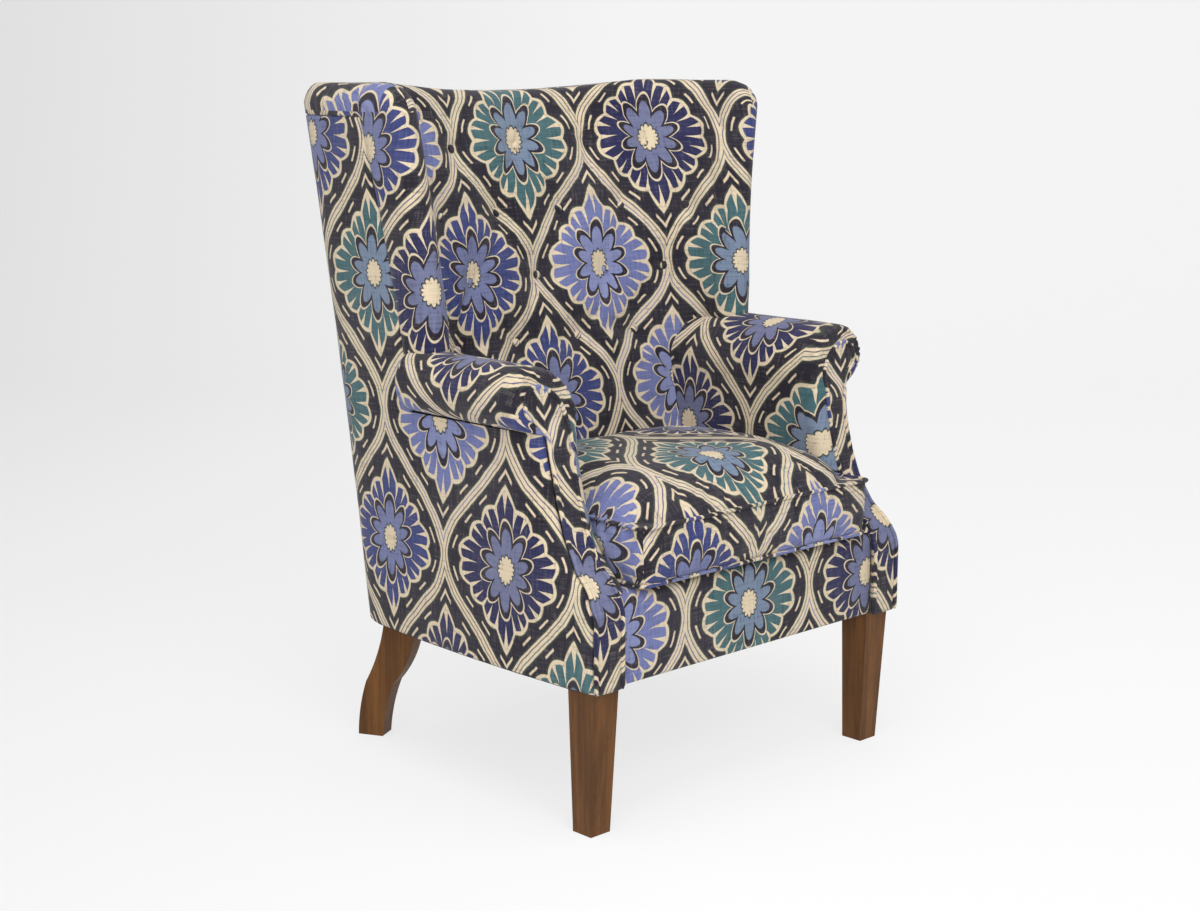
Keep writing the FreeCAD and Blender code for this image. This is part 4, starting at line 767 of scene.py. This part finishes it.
def back_and_wings():
    """Stuffed cover of the back and wings, from the seat to over the top."""
    rows, arch_rows, outer_rows = 108, 16, 74
    columns = len(wall_lines(SHOULDER_Z)[0])
    table = {}

    def lines(z):
        key = round(z, 2)
        if key not in table:
            table[key] = wall_lines(z)
        return table[key]

    def low_end(column, which):
        """Where a column of the cover starts: on the arm, or down at the seat."""
        on_arm = arm_top_at(lines(640)[which][column][0]) - 8
        if which:
            return on_arm if column < NOSE_STEPS + WING_STEPS else PANEL_TOP - 10
        return mix(DECK + 2, on_arm, smooth((lines(500)[0][column][0] - 264) / 20))

    inner, inner_lay = (np.zeros((rows + arch_rows, columns, size)) for size in (3, 2))
    outer, outer_lay = (np.zeros((outer_rows, columns, size)) for size in (3, 2))
    for c in range(columns):
        for r, z in enumerate(np.linspace(low_end(c, 0), SHOULDER_Z, rows)):
            inside = lines(z)[0]
            lay = run_length(inside)
            inner[r, c] = (*inside[c], z)
            inner_lay[r, c] = (lay[-1] - lay[c], z)
        heights = list(np.linspace(low_end(c, 1), SEAM_Z - 1.5, outer_rows - 5))
        heights += [SEAM_Z - 0.5, SEAM_Z + 0.8, SEAM_Z + 2, 994.5, SHOULDER_Z]
        for r, z in enumerate(heights):
            inside, outside = lines(z)
            line = full_outside(z, outside) if z > SEAM_Z + 0.5 else outside
            outer[r, c] = (*line[c], z)
            outer_lay[r, c] = (run_length(inside)[-1] + run_length(line)[c], z)
        start = inner[rows - 1, c]
        inner[rows:, c] = over_top(start, outer[-1, c], arch_rows)
        climb = run_length([start, *inner[rows:, c]])[1:]
        inner_lay[rows:, c, 0] = inner_lay[rows - 1, c, 0]
        inner_lay[rows:, c, 1] = inner_lay[rows - 1, c, 1] + climb
    # Fullness and tufting, along the way that the cover faces.
    out = facings(inner)
    if out[rows // 2, -1, 1] > 0:
        out = -out
    for r in range(1, rows + arch_rows):
        for c in range(columns):
            fade = smooth((c - 1) / 8.0) * smooth(r / 6.0)
            inner[r, c] += out[r, c] * tufting(inner[r, c]) * fade
    for r in range(outer_rows):
        for c in range(NOSE_STEPS + WING_STEPS - 1):
            fade = smooth((c - 1) / 4.0)
            outer[r, c, 0] += fade * (0.8 * ripple(*outer[r, c], 60.0))
    top = np.concatenate([inner, outer[-1:]])
    top_lay = np.concatenate([inner_lay, inner_lay[-1:] + [[[0, 4.0]]]])
    # Round the nose the wing's own cloth runs up to the crest, and ends in a dart behind it.
    crest, dart = rows + arch_rows // 2, NOSE_STEPS
    nose, nose_lay = top[crest:, :dart + 1], top_lay[crest:, :dart + 1].copy()
    nose_lay[..., 0] = outer_lay[-1, :dart + 1, 0]
    for c in range(dart + 1):
        nose_lay[:, c, 1] = SHOULDER_Z + run_length(nose[::-1, c])[::-1]
    parts = [(top[:crest + 1], top_lay[:crest + 1]), (top[crest:, dart:], top_lay[crest:, dart:]),
             (nose, nose_lay), (outer, outer_lay),
             (np.stack([inner[0], outer[0]]), np.stack([inner_lay[0], inner_lay[0]]))]
    halves = [(grid * (way, 1, 1), lay * (way, 1)) for way in (1, -1) for grid, lay in parts]
    cover = grid_piece("inside_back_cloth", halves, BACK_LINEN, weld=0.05)
    spots = spots_of(cover.data) - np.array([0, FRONT_PLANE, 0])
    inside = spots[:, 1] < np.array([rear_at(z) - 24 for z in spots[:, 2]])
    held = ~inside | (spots[:, 2] < DECK + 12) | (spots[:, 2] > SHOULDER_Z - 12)
    for start in range(0, len(spots), 4000):
        away = np.linalg.norm(spots[start:start + 4000, None] - BUTTON_SPOTS[None], axis=2)
        held[start:start + 4000] |= away.min(axis=1) < 9
    inflate(cover, held | on_outside(spots), pressure=3.0, slack=0.015, cap=9.0)
    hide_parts("inside_back")


def on_outside(spots):
    """Which points of the back's cover lie on its outside or on the wings' fronts."""
    return np.array([abs(x) > side_at(y, z) - 16 or y < wing_front_at(min(z, SHOULDER_Z)) + 22
                     for x, y, z in spots])


def covered_buttons():
    """Small domed buttons, each covered with the same print as the back behind it."""
    profile = [(6.2, -2.5), (6.9, -0.6), (7.0, 0.9), (6.4, 2.2), (4.9, 3.2), (2.8, 3.8), (1.1, 4.0)]
    around = 24
    points, lays, faces = [], [], []
    for (x, z), spot in zip(BUTTONS, BUTTON_SPOTS):
        out = inside_facing(x, z)
        across = unit(np.cross(out, [0, 0, 1.0]))
        up = np.cross(across, out)
        base = spot - out * (DIMPLE - 1.0)
        first = len(points)
        for radius, lift in profile:
            for k in range(around):
                angle = 2 * math.pi * k / around
                pucker = 1 + (0.03 * math.cos(8 * angle) if radius > 6 else 0)
                step = radius * pucker * (math.cos(angle) * across + math.sin(angle) * up)
                points.append(base + step + out * lift)
                lays.append((abs(x) + radius * math.cos(angle), z + radius * math.sin(angle)))
        faces += grid_faces(len(profile), around, first=first, wrap=True)
        points.append(base + out * 4.1)
        lays.append((abs(x), z))
        crown, tip = first + (len(profile) - 1) * around, len(points) - 1
        faces += [(crown + k, crown + (k + 1) % around, tip) for k in range(around)]
        faces.append(tuple(first + k for k in range(around))[::-1])
    buttons = make_piece("covered_buttons", points, faces, lays, BACK_LINEN)
    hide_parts("back_buttons")


# Outside panels: the sides and the back below the top seam.
PANEL_CLOTH = 0.0022


def panel_line(z, first_y, steps):
    """Plan line of an outside side panel: forward edge, side, rear corner, upright seam."""
    ys = np.linspace(first_y, rear_at(z) - CORNER, steps)
    return np.array([(side_at(y, z), y) for y in ys] + rear_corner(z, CORNER, 14))


def rolled_grid(grid, depth, edges):
    """A grid of points with its named edges turned in, away from the side that it faces."""
    inward, turned = facings(grid), grid.copy()
    if (inward * (grid - np.array([0, 300, 0]))).sum() > 0:
        inward = -inward
    for edge in edges:
        flat = edge in ("low", "high")
        here, way = (turned, inward) if flat else (turned.swapaxes(0, 1), inward.swapaxes(0, 1))
        for step, share in ((0, 1.0), (1, 0.3)):
            row = step if edge in ("low", "first") else -1 - step
            here[row] += way[row] * depth * share
    return turned


def edge_spaced(low, high, count, margin=1.2):
    """Evenly spaced numbers with a close pair at each end, for a turned edge."""
    inner = np.linspace(low + 2 * margin, high - 2 * margin, count - 2)
    return np.concatenate([[low, low + margin], inner, [high - margin, high]])


def outside_side(side, label):
    """Side panel: under the roll it runs forward to the facing, above it to the wing seam."""
    heights = np.concatenate([edge_spaced(BASE_Z, PANEL_TOP - 1, 46),
                              edge_spaced(PANEL_TOP, SEAM_Z, 50)[1:]])
    low_rows = 48
    wide_steps, forward_steps = 26, 26
    points, lays = [], []
    for r, z in enumerate(heights):
        seam = seam_y(z) if r >= low_rows else SEAM_FOOT
        back = panel_line(z, seam, wide_steps)
        start = front_y(z) + 6
        edge_x = facing_edge(z) + 3.2
        forward = []
        for y in start + (seam - start) * np.linspace(0, 1, forward_steps)[:-1] ** 1.5:
            drawn = math.sin(math.pi / 2 * clamp((y - start) / 62.0)) ** 0.8
            forward.append((mix(edge_x, side_at(y, z), drawn), y))
        line = np.array(forward + list(back))
        lay = run_length(line) + start
        points.append([(x, y, z) for x, y in line])
        lays.append([(a, z) for a in lay])
    points, lays = np.array(points), np.array(lays)
    above = (slice(low_rows - 1, None), slice(forward_steps - 1, None))
    low = rolled_grid(points[:low_rows], 3.5, ["low", "first", "last"])
    high = rolled_grid(points[above], 4.5, ["first", "last", "high"])
    high[0] = low[-1, forward_steps - 1:]
    for grid in (low, high):
        for point in grid.reshape(-1, 3):
            point[0] += 0.9 * ripple(*point, 110.0) + 0.3 * ripple(*point, 30.0)
    grids = [(low * (side, 1, 1), lays[:low_rows]), (high * (side, 1, 1), lays[above])]
    panel = grid_piece(f"outside_panel_{label}_cloth", grids, SIDE_LINEN, weld=0.02)
    thicken(panel, PANEL_CLOTH)
    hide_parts(f"outside_panel_{label}")


def outside_back():
    heights = edge_spaced(BASE_Z, SEAM_Z, 70)
    shares = np.concatenate([[-1, -0.995], np.linspace(-0.98, 0.98, 46), [0.995, 1]])

    def place(z, share):
        x, rear = (half_width(z) - CORNER) * share, rear_at(z)
        return (x, rear + 0.9 * ripple(x, rear, z, 120.0), z), (x, z)

    grid, lay = laid_grid(heights, shares, place)
    grid = rolled_grid(grid, 3.0, ["low", "high", "first", "last"])
    panel = grid_piece("outside_back_cloth", [(grid, lay)], SIDE_LINEN)
    thicken(panel, PANEL_CLOTH)
    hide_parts("outside_back")


# Arms: stuffed cover, facing and the cord round the facing.
FACING_IN, THROAT_Z, HEAD_SINK = ARM_X + 25.0, 566.0, 6.0


def facing_runs():
    """Inner and outer edge of the facing in front view, both from foot to the head's top."""
    top, tip, cheek = (46, 630.0), (66, 588.0), (74, 606.0)
    hip, waist, neck_top = (51, 335.0), (37.5, 470.0), (42, 560.0)
    inner = np.concatenate([[(0, z) for z in np.linspace(BASE_Z, THROAT_Z, 40)[:-1]],
                            arc_points((0, THROAT_Z), top, 14.0, 20)])
    outer = [(hip[0], z) for z in np.linspace(BASE_Z, hip[1], 14)[:-1]]
    for start, end, bulge, count in ((hip, waist, 4.0, 14), (waist, neck_top, 2.0, 10),
                                     (neck_top, tip, 4.0, 8), (tip, cheek, -4.0, 6)):
        outer += list(arc_points(start, end, bulge, count)[:-1])
    outer += list(arc_points(cheek, top, -9.0, 12))
    return inner + (FACING_IN, 0), np.array(outer) + (FACING_IN, 0)


FACING_INNER, FACING_OUTER = facing_runs()


def facing_edge(z):
    """Outer edge of the facing's foot and neck at a height."""
    low = FACING_OUTER[FACING_OUTER[:, 1] < 570]
    return float(np.interp(z, low[:, 1], low[:, 0]))


def head_sink(z):
    """How far the scroll's head lies behind the gathered rim round it."""
    return HEAD_SINK * smooth((z - 556) / 26)


REAR_ROUND, PLEAT, PLEAT_DEPTH, PLEATS_START, WALL_ROWS = 12.0, 10.5, 2.6, 175, 30


def arm_cover(side, label):
    """Arm cover: up the inside, over the shoulder, round the roll and under it."""
    wall = [(ARM_X, z) for z in np.linspace(DECK - 4, ARM_TOP - 91, WALL_ROWS)[:-1]]
    roll = [(ROLL_X + ROLL_R * math.cos(a), ROLL_Z + ROLL_R * math.sin(a))
            for a in np.linspace(math.pi / 2, -math.pi / 2, 34)[1:]]
    tail = [(x, ROLL_Z - ROLL_R + 0.5) for x in (326, 322, 318)]
    section = np.array(wall + list(SHOULDER) + roll + tail)
    # The matching points of the facing's edge.
    inner_wall = [(FACING_IN, z) for z in np.linspace(DECK - 4, THROAT_Z, WALL_ROWS)[:-1]]
    crest = resample(FACING_INNER[39:], np.linspace(0, 1, len(SHOULDER)))
    around = resample(FACING_OUTER[::-1][:24], np.linspace(0, 1, len(roll)))
    match = np.array(inner_wall + list(crest) + list(around) + [tuple(around[-1])] * 3)
    lay = run_length(section)
    count = len(section)
    on_roll = np.array([smooth((lay[i] - lay[40]) / 40) for i in range(count)])
    body = np.linspace(0, 1, 46)
    turn = np.sin(quarter(11, 1))
    spots = []
    for i, ((x, z), (fx, fz)) in enumerate(zip(section, match)):
        gap = math.hypot(fx - x, fz - z)
        round_size = min(max(1.1 * gap, 6.0), 28.0)
        rear = mix(440.0, 376.5, smooth((x - 262) / 42))
        front = front_y(z) + 2
        start, end = rear - REAR_ROUND, front + round_size
        tuck_x, tuck_z = min(x, 345.0), mix(z, clamp(z, 572.0, 646.0), on_roll[i])
        spots.append([])
        for share in np.linspace(1, 0, 7)[:-1]:
            pull = 1 - math.sqrt(max(1 - share ** 2, 0))
            px, pz = mix(x, tuck_x, pull), mix(z, tuck_z, pull)
            y = start + REAR_ROUND * math.sin(share * math.pi / 2)
            spots[-1].append((px, y, pz, y, lay[i]))
        for share in body:
            y = mix(start, end, share)
            full = math.sin(math.pi * clamp(share * 1.02)) ** 0.5
            puff = (0.7 + 0.9 * ripple(x, y, z, 90.0)) * full
            nx, nz = (-1.0, 0.0) if i < WALL_ROWS else ((x - 318) / 60, (z - 590) / 60)
            spots[-1].append((x + nx * puff, y, z + nz * puff, y, lay[i]))
        for share in turn:
            # Round the front edge to the cord, in small pleats round the scroll's head.
            face = 1 - math.sqrt(max(1 - share * share, 0))
            px, pz = mix(x, fx, face * (0.5 + 0.5 * smooth(share))), mix(z, fz, face)
            front_here = mix(front_y(z), front_y(fz), face) + 2
            y = front_here + round_size * (1 - share)
            y += head_sink(fz) * (smooth((share - 0.7) / 0.3)
                                  - 2.5 / HEAD_SINK * math.sin(math.pi * share) ** 2)
            pleat = PLEAT_DEPTH * math.sin(2 * math.pi * lay[i] / PLEAT)
            pleat *= math.sin(math.pi * share) ** 0.7
            pleat *= smooth((lay[i] - PLEATS_START) / 60) * smooth((lay[-1] - 40 - lay[i]) / 30)
            spots[-1].append((px, y - pleat * (0.4 + 0.6 * share), pz + 0.4 * pleat,
                              end - gap * face, lay[i]))
    spots = np.array(spots)
    cover = grid_piece(f"arm_pad_{label}_cloth",
                       [(spots[..., :3] * (side, 1, 1), spots[..., 3:])], ARM_LINEN)
    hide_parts(f"arm_pad_{label}")


def arm_facing(side, label):
    """Flat stuffed facing that follows the swept front, and the cord that edges it."""
    shares = np.concatenate([np.linspace(0, 0.9, 70), np.linspace(0.9, 1, 22)[1:]])
    inner, outer = resample(FACING_INNER, shares), resample(FACING_OUTER, shares)

    def place(row, share):
        a, b, way = row
        x, z = mix(a, b, share)
        dome = 2.6 * (1 - (2 * share - 1) ** 4) * smooth((1 - way) / 0.03)
        y = front_y(z) + 2.4 + head_sink(z) - dome + 0.4 * ripple(x, z, side * 9, 26.0)
        return (x * side, y, z), (x - FACING_IN, z + 0.4 * front_y(z))

    grid = laid_grid(zip(inner, outer, shares), np.linspace(0, 1, 13), place)
    panel = grid_piece(f"arm_facing_{label}_cloth", [grid], FACING_LINEN)
    thicken(panel, 0.012)
    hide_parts(f"arm_facing_{label}")
    loop = np.concatenate([FACING_INNER, FACING_OUTER[::-1][1:]])
    length = run_length(loop)[-1]
    loop = resample(loop, np.linspace(0, 1, int(length / 6)))
    path = [(x * side, front_y(z) + 0.4 + head_sink(z), z) for x, z in loop]
    cord = tube(f"facing_piping_{label}_cloth", path, 3.2, FACING_LINEN,
                lambda x, y, z: (abs(x) - FACING_IN, z + 0.4 * y))
    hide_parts(f"facing_piping_{label}")


# Seat: front border, deck and loose cushion.
def front_border():
    profile = [(30, 213.9), (14, 214.1), (9.5, 215.2), (8, 218)]
    profile += [(8, z) for z in np.linspace(224, 330, 22)]
    profile += [(24 - 16 * math.cos(a), 332 + 16 * math.sin(a))
                for a in np.linspace(0.1, math.pi / 2, 8)]
    profile += [(40, 348.2)]
    reach = FACING_IN + 1.5

    def place(row, x):
        (y, z), step = row
        edge = smooth((reach - abs(x)) / 12)
        swell = (1.0 + 1.0 * ripple(x, y, z, 100.0)) * edge * clamp((z - 215) / 20)
        return (x, y - swell + 1.5 * (1 - edge), z), (x, step)

    grid = laid_grid(zip(profile, run_length(profile)), np.linspace(-reach, reach, 70), place)
    piece = grid_piece("front_border_cloth", [grid], CUSHION_LINEN)
    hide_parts("front_border")


def seat_deck():
    """Stuffed platform under the cushion, covered in the same linen."""

    def place(y, x):
        edge = smooth((ARM_X - abs(x)) / 14) * smooth((SEAT_BACK - y) / 14)
        z = DECK - 3 + 2.6 * edge + 0.5 * ripple(x, y, 0, 80.0) * edge
        return (x, y, min(z, DECK)), (x, y)

    reach = ARM_X - 0.5
    grid = laid_grid(np.linspace(30, SEAT_BACK - 2, 50), np.linspace(-reach, reach, 60), place)
    piece = grid_piece("seat_deck_cloth", [grid], CUSHION_LINEN)
    thicken(piece, 0.030)
    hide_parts("seat_deck")


CUSHION_LOW, CUSHION_HIGH, CUSHION_TOP, CUSHION_BASE = 354.3, 436.3, 499.3, 350.6
CUSHION_HALF, CUSHION_FRONT, CUSHION_REAR, CUSHION_CORNER = 239.7, -5.7, 391.0, 15.0
CUSHION_MIDDLE = (CUSHION_FRONT + CUSHION_REAR) / 2
CROWN_START = 52.0
PRINT_STRETCH = 1.04


def cushion_side(half_along, half_across, count, bow, ear):
    """One side of the cushion's plan, from corner to corner, as distances along and across."""
    flat, radius = half_along - CUSHION_CORNER, CUSHION_CORNER
    turn = [(flat + radius * math.sin(a), half_across - radius + radius * math.cos(a))
            for a in np.linspace(0, math.pi / 4, 7)]
    run = resample([(-a, b) for a, b in turn[::-1]] + turn, np.linspace(0, 1, count))
    tip = run[-1, 0]
    for spot in run:
        spot[1] -= bow * max(1 - (spot[0] / flat) ** 2, 0)
        pull = ear * math.exp(-((tip - abs(spot[0])) / 16.0) ** 2)
        spot += (math.copysign(pull, spot[0]), pull)
    return run


def cushion_plan(wide, deep, ear):
    """The four sides of the cushion: front, rear, left and right, as plan points."""
    half_deep = (CUSHION_REAR - CUSHION_FRONT) / 2
    level = cushion_side(CUSHION_HALF, half_deep, wide, 0.8, ear)
    upright = cushion_side(half_deep, CUSHION_HALF, deep, 4.6, ear)[:, ::-1]
    return [line * way + (0, CUSHION_MIDDLE) for line, way in (
        (level, (1, -1)), (level, (1, 1)), (upright, (-1, 1)), (upright, (1, 1)))]


def spanned(front, rear, left, right):
    """Plan points of a grid between the four sides, rows from front to rear."""
    u = np.linspace(0, 1, len(front))[None, :, None]
    v = np.linspace(0, 1, len(left))[:, None, None]
    corners = mix(mix(front[0], front[-1], u), mix(rear[0], rear[-1], u), v)
    return mix(front, rear, v) + mix(left[:, None], right[:, None], u) - corners


def beside(steps):
    """Directions square to the steps of a plan line, to their right."""
    return unit(steps[:, ::-1] * (1, -1))


def cushion_cover():
    """Box cushion: crowned top, boxing between two cords, flat underneath."""
    wide, deep, tall = 76, 64, 15
    top_plan, low_plan = cushion_plan(wide, deep, 4.5), cushion_plan(wide, deep, 1.5)
    u, v = np.meshgrid(np.linspace(-1, 1, wide), np.linspace(-1, 1, deep))
    edge = np.minimum((np.abs(u) ** 5 + np.abs(v) ** 5) ** 0.2, 1.0)
    grids = []
    for plan, which in ((top_plan, 1), (low_plan, -1)):
        flat = spanned(*plan)
        if which > 0:
            z = CUSHION_HIGH + CROWN_START * (1 - edge ** 2.6) ** 0.52
        else:
            z = np.maximum(CUSHION_LOW - 40 * (1 - edge), CUSHION_BASE)
        grids.append((np.dstack([flat, z]), flat * (1.0, PRINT_STRETCH)))
    for side, (high_line, low_line) in enumerate(zip(top_plan, low_plan)):
        rows, row_lays = [], []
        for share in np.linspace(0, 1, tall):
            line = mix(low_line, high_line, share)
            z = mix(CUSHION_LOW, CUSHION_HIGH, share)
            out = beside(np.gradient(line, axis=0)) * (-1 if side in (1, 2) else 1)
            ends = np.linspace(-1, 1, len(line))
            swell = 4.0 * (1 - (2 * share - 1) ** 2) * (1 - ends ** 8)
            spots = line + out * swell[:, None]
            rows.append(np.column_stack([spots, np.full(len(line), z)]))
            drop = CUSHION_HIGH - z
            row_lays.append(line * (1.0, PRINT_STRETCH) - (0.0, drop) if side == 0 else
                            (line + out * drop) * (1.0, PRINT_STRETCH))
        grids.append((rows, row_lays))
    cushion = grid_piece("seat_cushion_cloth", grids, CUSHION_LINEN, body="cushion", weld=0.03)
    spots = spots_of(cushion.data)
    pinned = (np.abs(spots[:, 2] - CUSHION_HIGH) < 0.02) | (spots[:, 2] < CUSHION_LOW + 0.02)
    inflate(cushion, pinned, pressure=4.0, slack=0.03, cap=20.0)
    soften_cushion(cushion)
    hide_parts("cushion_cover", "cushion_filling")
    for label, z, plan in (("top", CUSHION_HIGH, top_plan), ("bottom", CUSHION_LOW, low_plan)):
        front, rear, left, right = plan
        loop = np.concatenate([front[:-1], right[:-1], rear[:0:-1], left[:0:-1]])
        out = beside(np.roll(loop, -1, 0) - np.roll(loop, 1, 0))
        path = [(x, y, z + 0.5 * ripple(x, y, z, 50.0)) for x, y in loop + out * 2.2]
        cord = tube(f"cushion_piping_{label}_cloth", path, 2.9, CUSHION_LINEN,
                    lambda x, y, z: (x, y * PRINT_STRETCH - CUSHION_HIGH + z), closed=True,
                    body="cushion")
        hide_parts(f"cushion_piping_{label}")


def soften_cushion(cushion):
    """Keeps the filled cushion within its room, and leaves it slightly uneven from use."""
    spots = spots_of(cushion.data)
    crown = np.clip((spots[:, 2] - CUSHION_HIGH) / 30, 0, 1)
    for spot, share in zip(spots, crown):
        spot[2] += 1.6 * ripple(spot[0], spot[1], 7, 70.0) * share
    over = np.maximum(spots[:, 2] - (CUSHION_TOP - 8), 0)
    spots[:, 2] -= over - 8 * np.tanh(over / 8)
    spots[:, 0] = np.clip(spots[:, 0], -248.0, 248.0)
    put_spots(cushion.data, spots)


def ease_wood():
    """Softens the edges of the legs."""
    for name in ("front_leg_left", "front_leg_right", "rear_leg_left", "rear_leg_right"):
        leg = frame["nodes"][name]
        bevel = leg.modifiers.new("Eased edges", "BEVEL")
        bevel.width, bevel.segments, bevel.limit_method = 0.0022, 3, "ANGLE"
        bevel.angle_limit = math.radians(35)
        bevel.harden_normals = True


# Floor, backdrop, light and camera.
VIEW_TURN = math.radians(-43.54)


def in_sight(b):
    """One for rays that show a surface, straight on or in a reflection, and none for light."""
    ray = b.add("ShaderNodeLightPath").outputs
    mirrored = b.math("ADD", ray["Is Glossy Ray"], ray["Is Transmission Ray"])
    return b.math("ADD", ray["Is Camera Ray"], mirrored, limit=True)


def grey(value):
    return (value, value, value, 1)


def studio_floor():
    """Pale floor that curves up into a backdrop, with painted shade: a little darker towards the
    left.
    """
    material, b, shader, output = start_material(
        "pale studio floor", {"Roughness": 0.9, "Specular IOR Level": 0.1})
    spread = b.add("ShaderNodeSeparateXYZ", {0: b.own_place()}).outputs
    # Painted shade: base colour and glow both darken towards the left, standing in for light
    # falling off.
    painted_falloff = b.ramp(Term(b, spread[0]) - Term(b, spread[1]) * 0.95, -3.2, 0.2)
    b.feed(shader.inputs["Base Color"], b.blend(painted_falloff, grey(0.72), grey(0.85)))
    glow = b.add("ShaderNodeEmission", {"Color": b.blend(painted_falloff, grey(0.84), grey(1.0))})
    b.mix_shaders(in_sight(b) * 0.74, shader, glow, output)
    near, bend_start, bend, top, half_width_m, drop = -16.0, 3.4, 1.6, 6.5, 18.0, 0.0004
    profile = [(near, 0.0), (bend_start, 0.0)]
    profile += [(bend_start + bend * math.sin(a), bend * (1 - math.cos(a)))
                for a in quarter(13, 1)]
    profile += [(bend_start + bend, top)]
    sine, cosine = math.sin(VIEW_TURN), math.cos(VIEW_TURN)
    points = [(across * cosine - distance * sine, across * sine + distance * cosine, height - drop)
              for distance, height in profile for across in (-half_width_m, half_width_m)]
    mesh = bpy.data.meshes.new("studio_floor")
    mesh.from_pydata(points, [], grid_faces(len(profile), 2))
    for face in mesh.polygons:
        face.use_smooth = True
    mesh.materials.append(material)
    floor = show("studio_floor", mesh)


def studio_air():
    """World that lights gently, and shows paler than it lights."""
    world = bpy.data.worlds.new("studio air")
    world.use_nodes = True
    world.node_tree.nodes.clear()
    b = Bench(world.node_tree)
    lit, shown = (b.add("ShaderNodeBackground", {"Strength": strength, "Color": grey(1)})
                  for strength in (0.5, 0.92))
    b.mix_shaders(in_sight(b), lit, shown, b.add("ShaderNodeOutputWorld"))
    bpy.context.scene.world = world


def softbox(name, place, target_height, size, power):
    lamp = bpy.data.lights.new(name, "AREA")
    lamp.shape, lamp.size, lamp.energy = "SQUARE", size, power
    piece = show(name, lamp)
    piece.location = place
    way = Vector((0, 0, target_height)) - Vector(place)
    piece.rotation_euler = way.to_track_quat("-Z", "Y").to_euler()


def camera():
    lens = bpy.data.cameras.new("photo view")
    lens.lens, lens.sensor_width = 60.13, 36.0
    eye = show("photo view", lens)
    eye.location = (-2.1304, -2.2192, 1.0711)
    eye.rotation_euler = (math.radians(78.8), 0, VIEW_TURN)
    bpy.context.scene.camera = eye


camera()
dress_carried_parts()
ease_wood()
back_and_wings()
covered_buttons()
for chair_side, chair_label in ((-1, "left"), (1, "right")):
    outside_side(chair_side, chair_label)
    arm_cover(chair_side, chair_label)
    arm_facing(chair_side, chair_label)
outside_back()
front_border()
seat_deck()
cushion_cover()
studio_floor()
studio_air()
softbox("key light", (-1.4, -3.4, 3.0), 0.5, 2.2, 62)
softbox("fill light", (-3.2, -2.1, 1.9), 0.5, 2.4, 56)
softbox("top light", (-0.9, -0.4, 3.9), 0.4, 3.0, 55)
bpy.context.scene.view_settings.view_transform = "Standard"
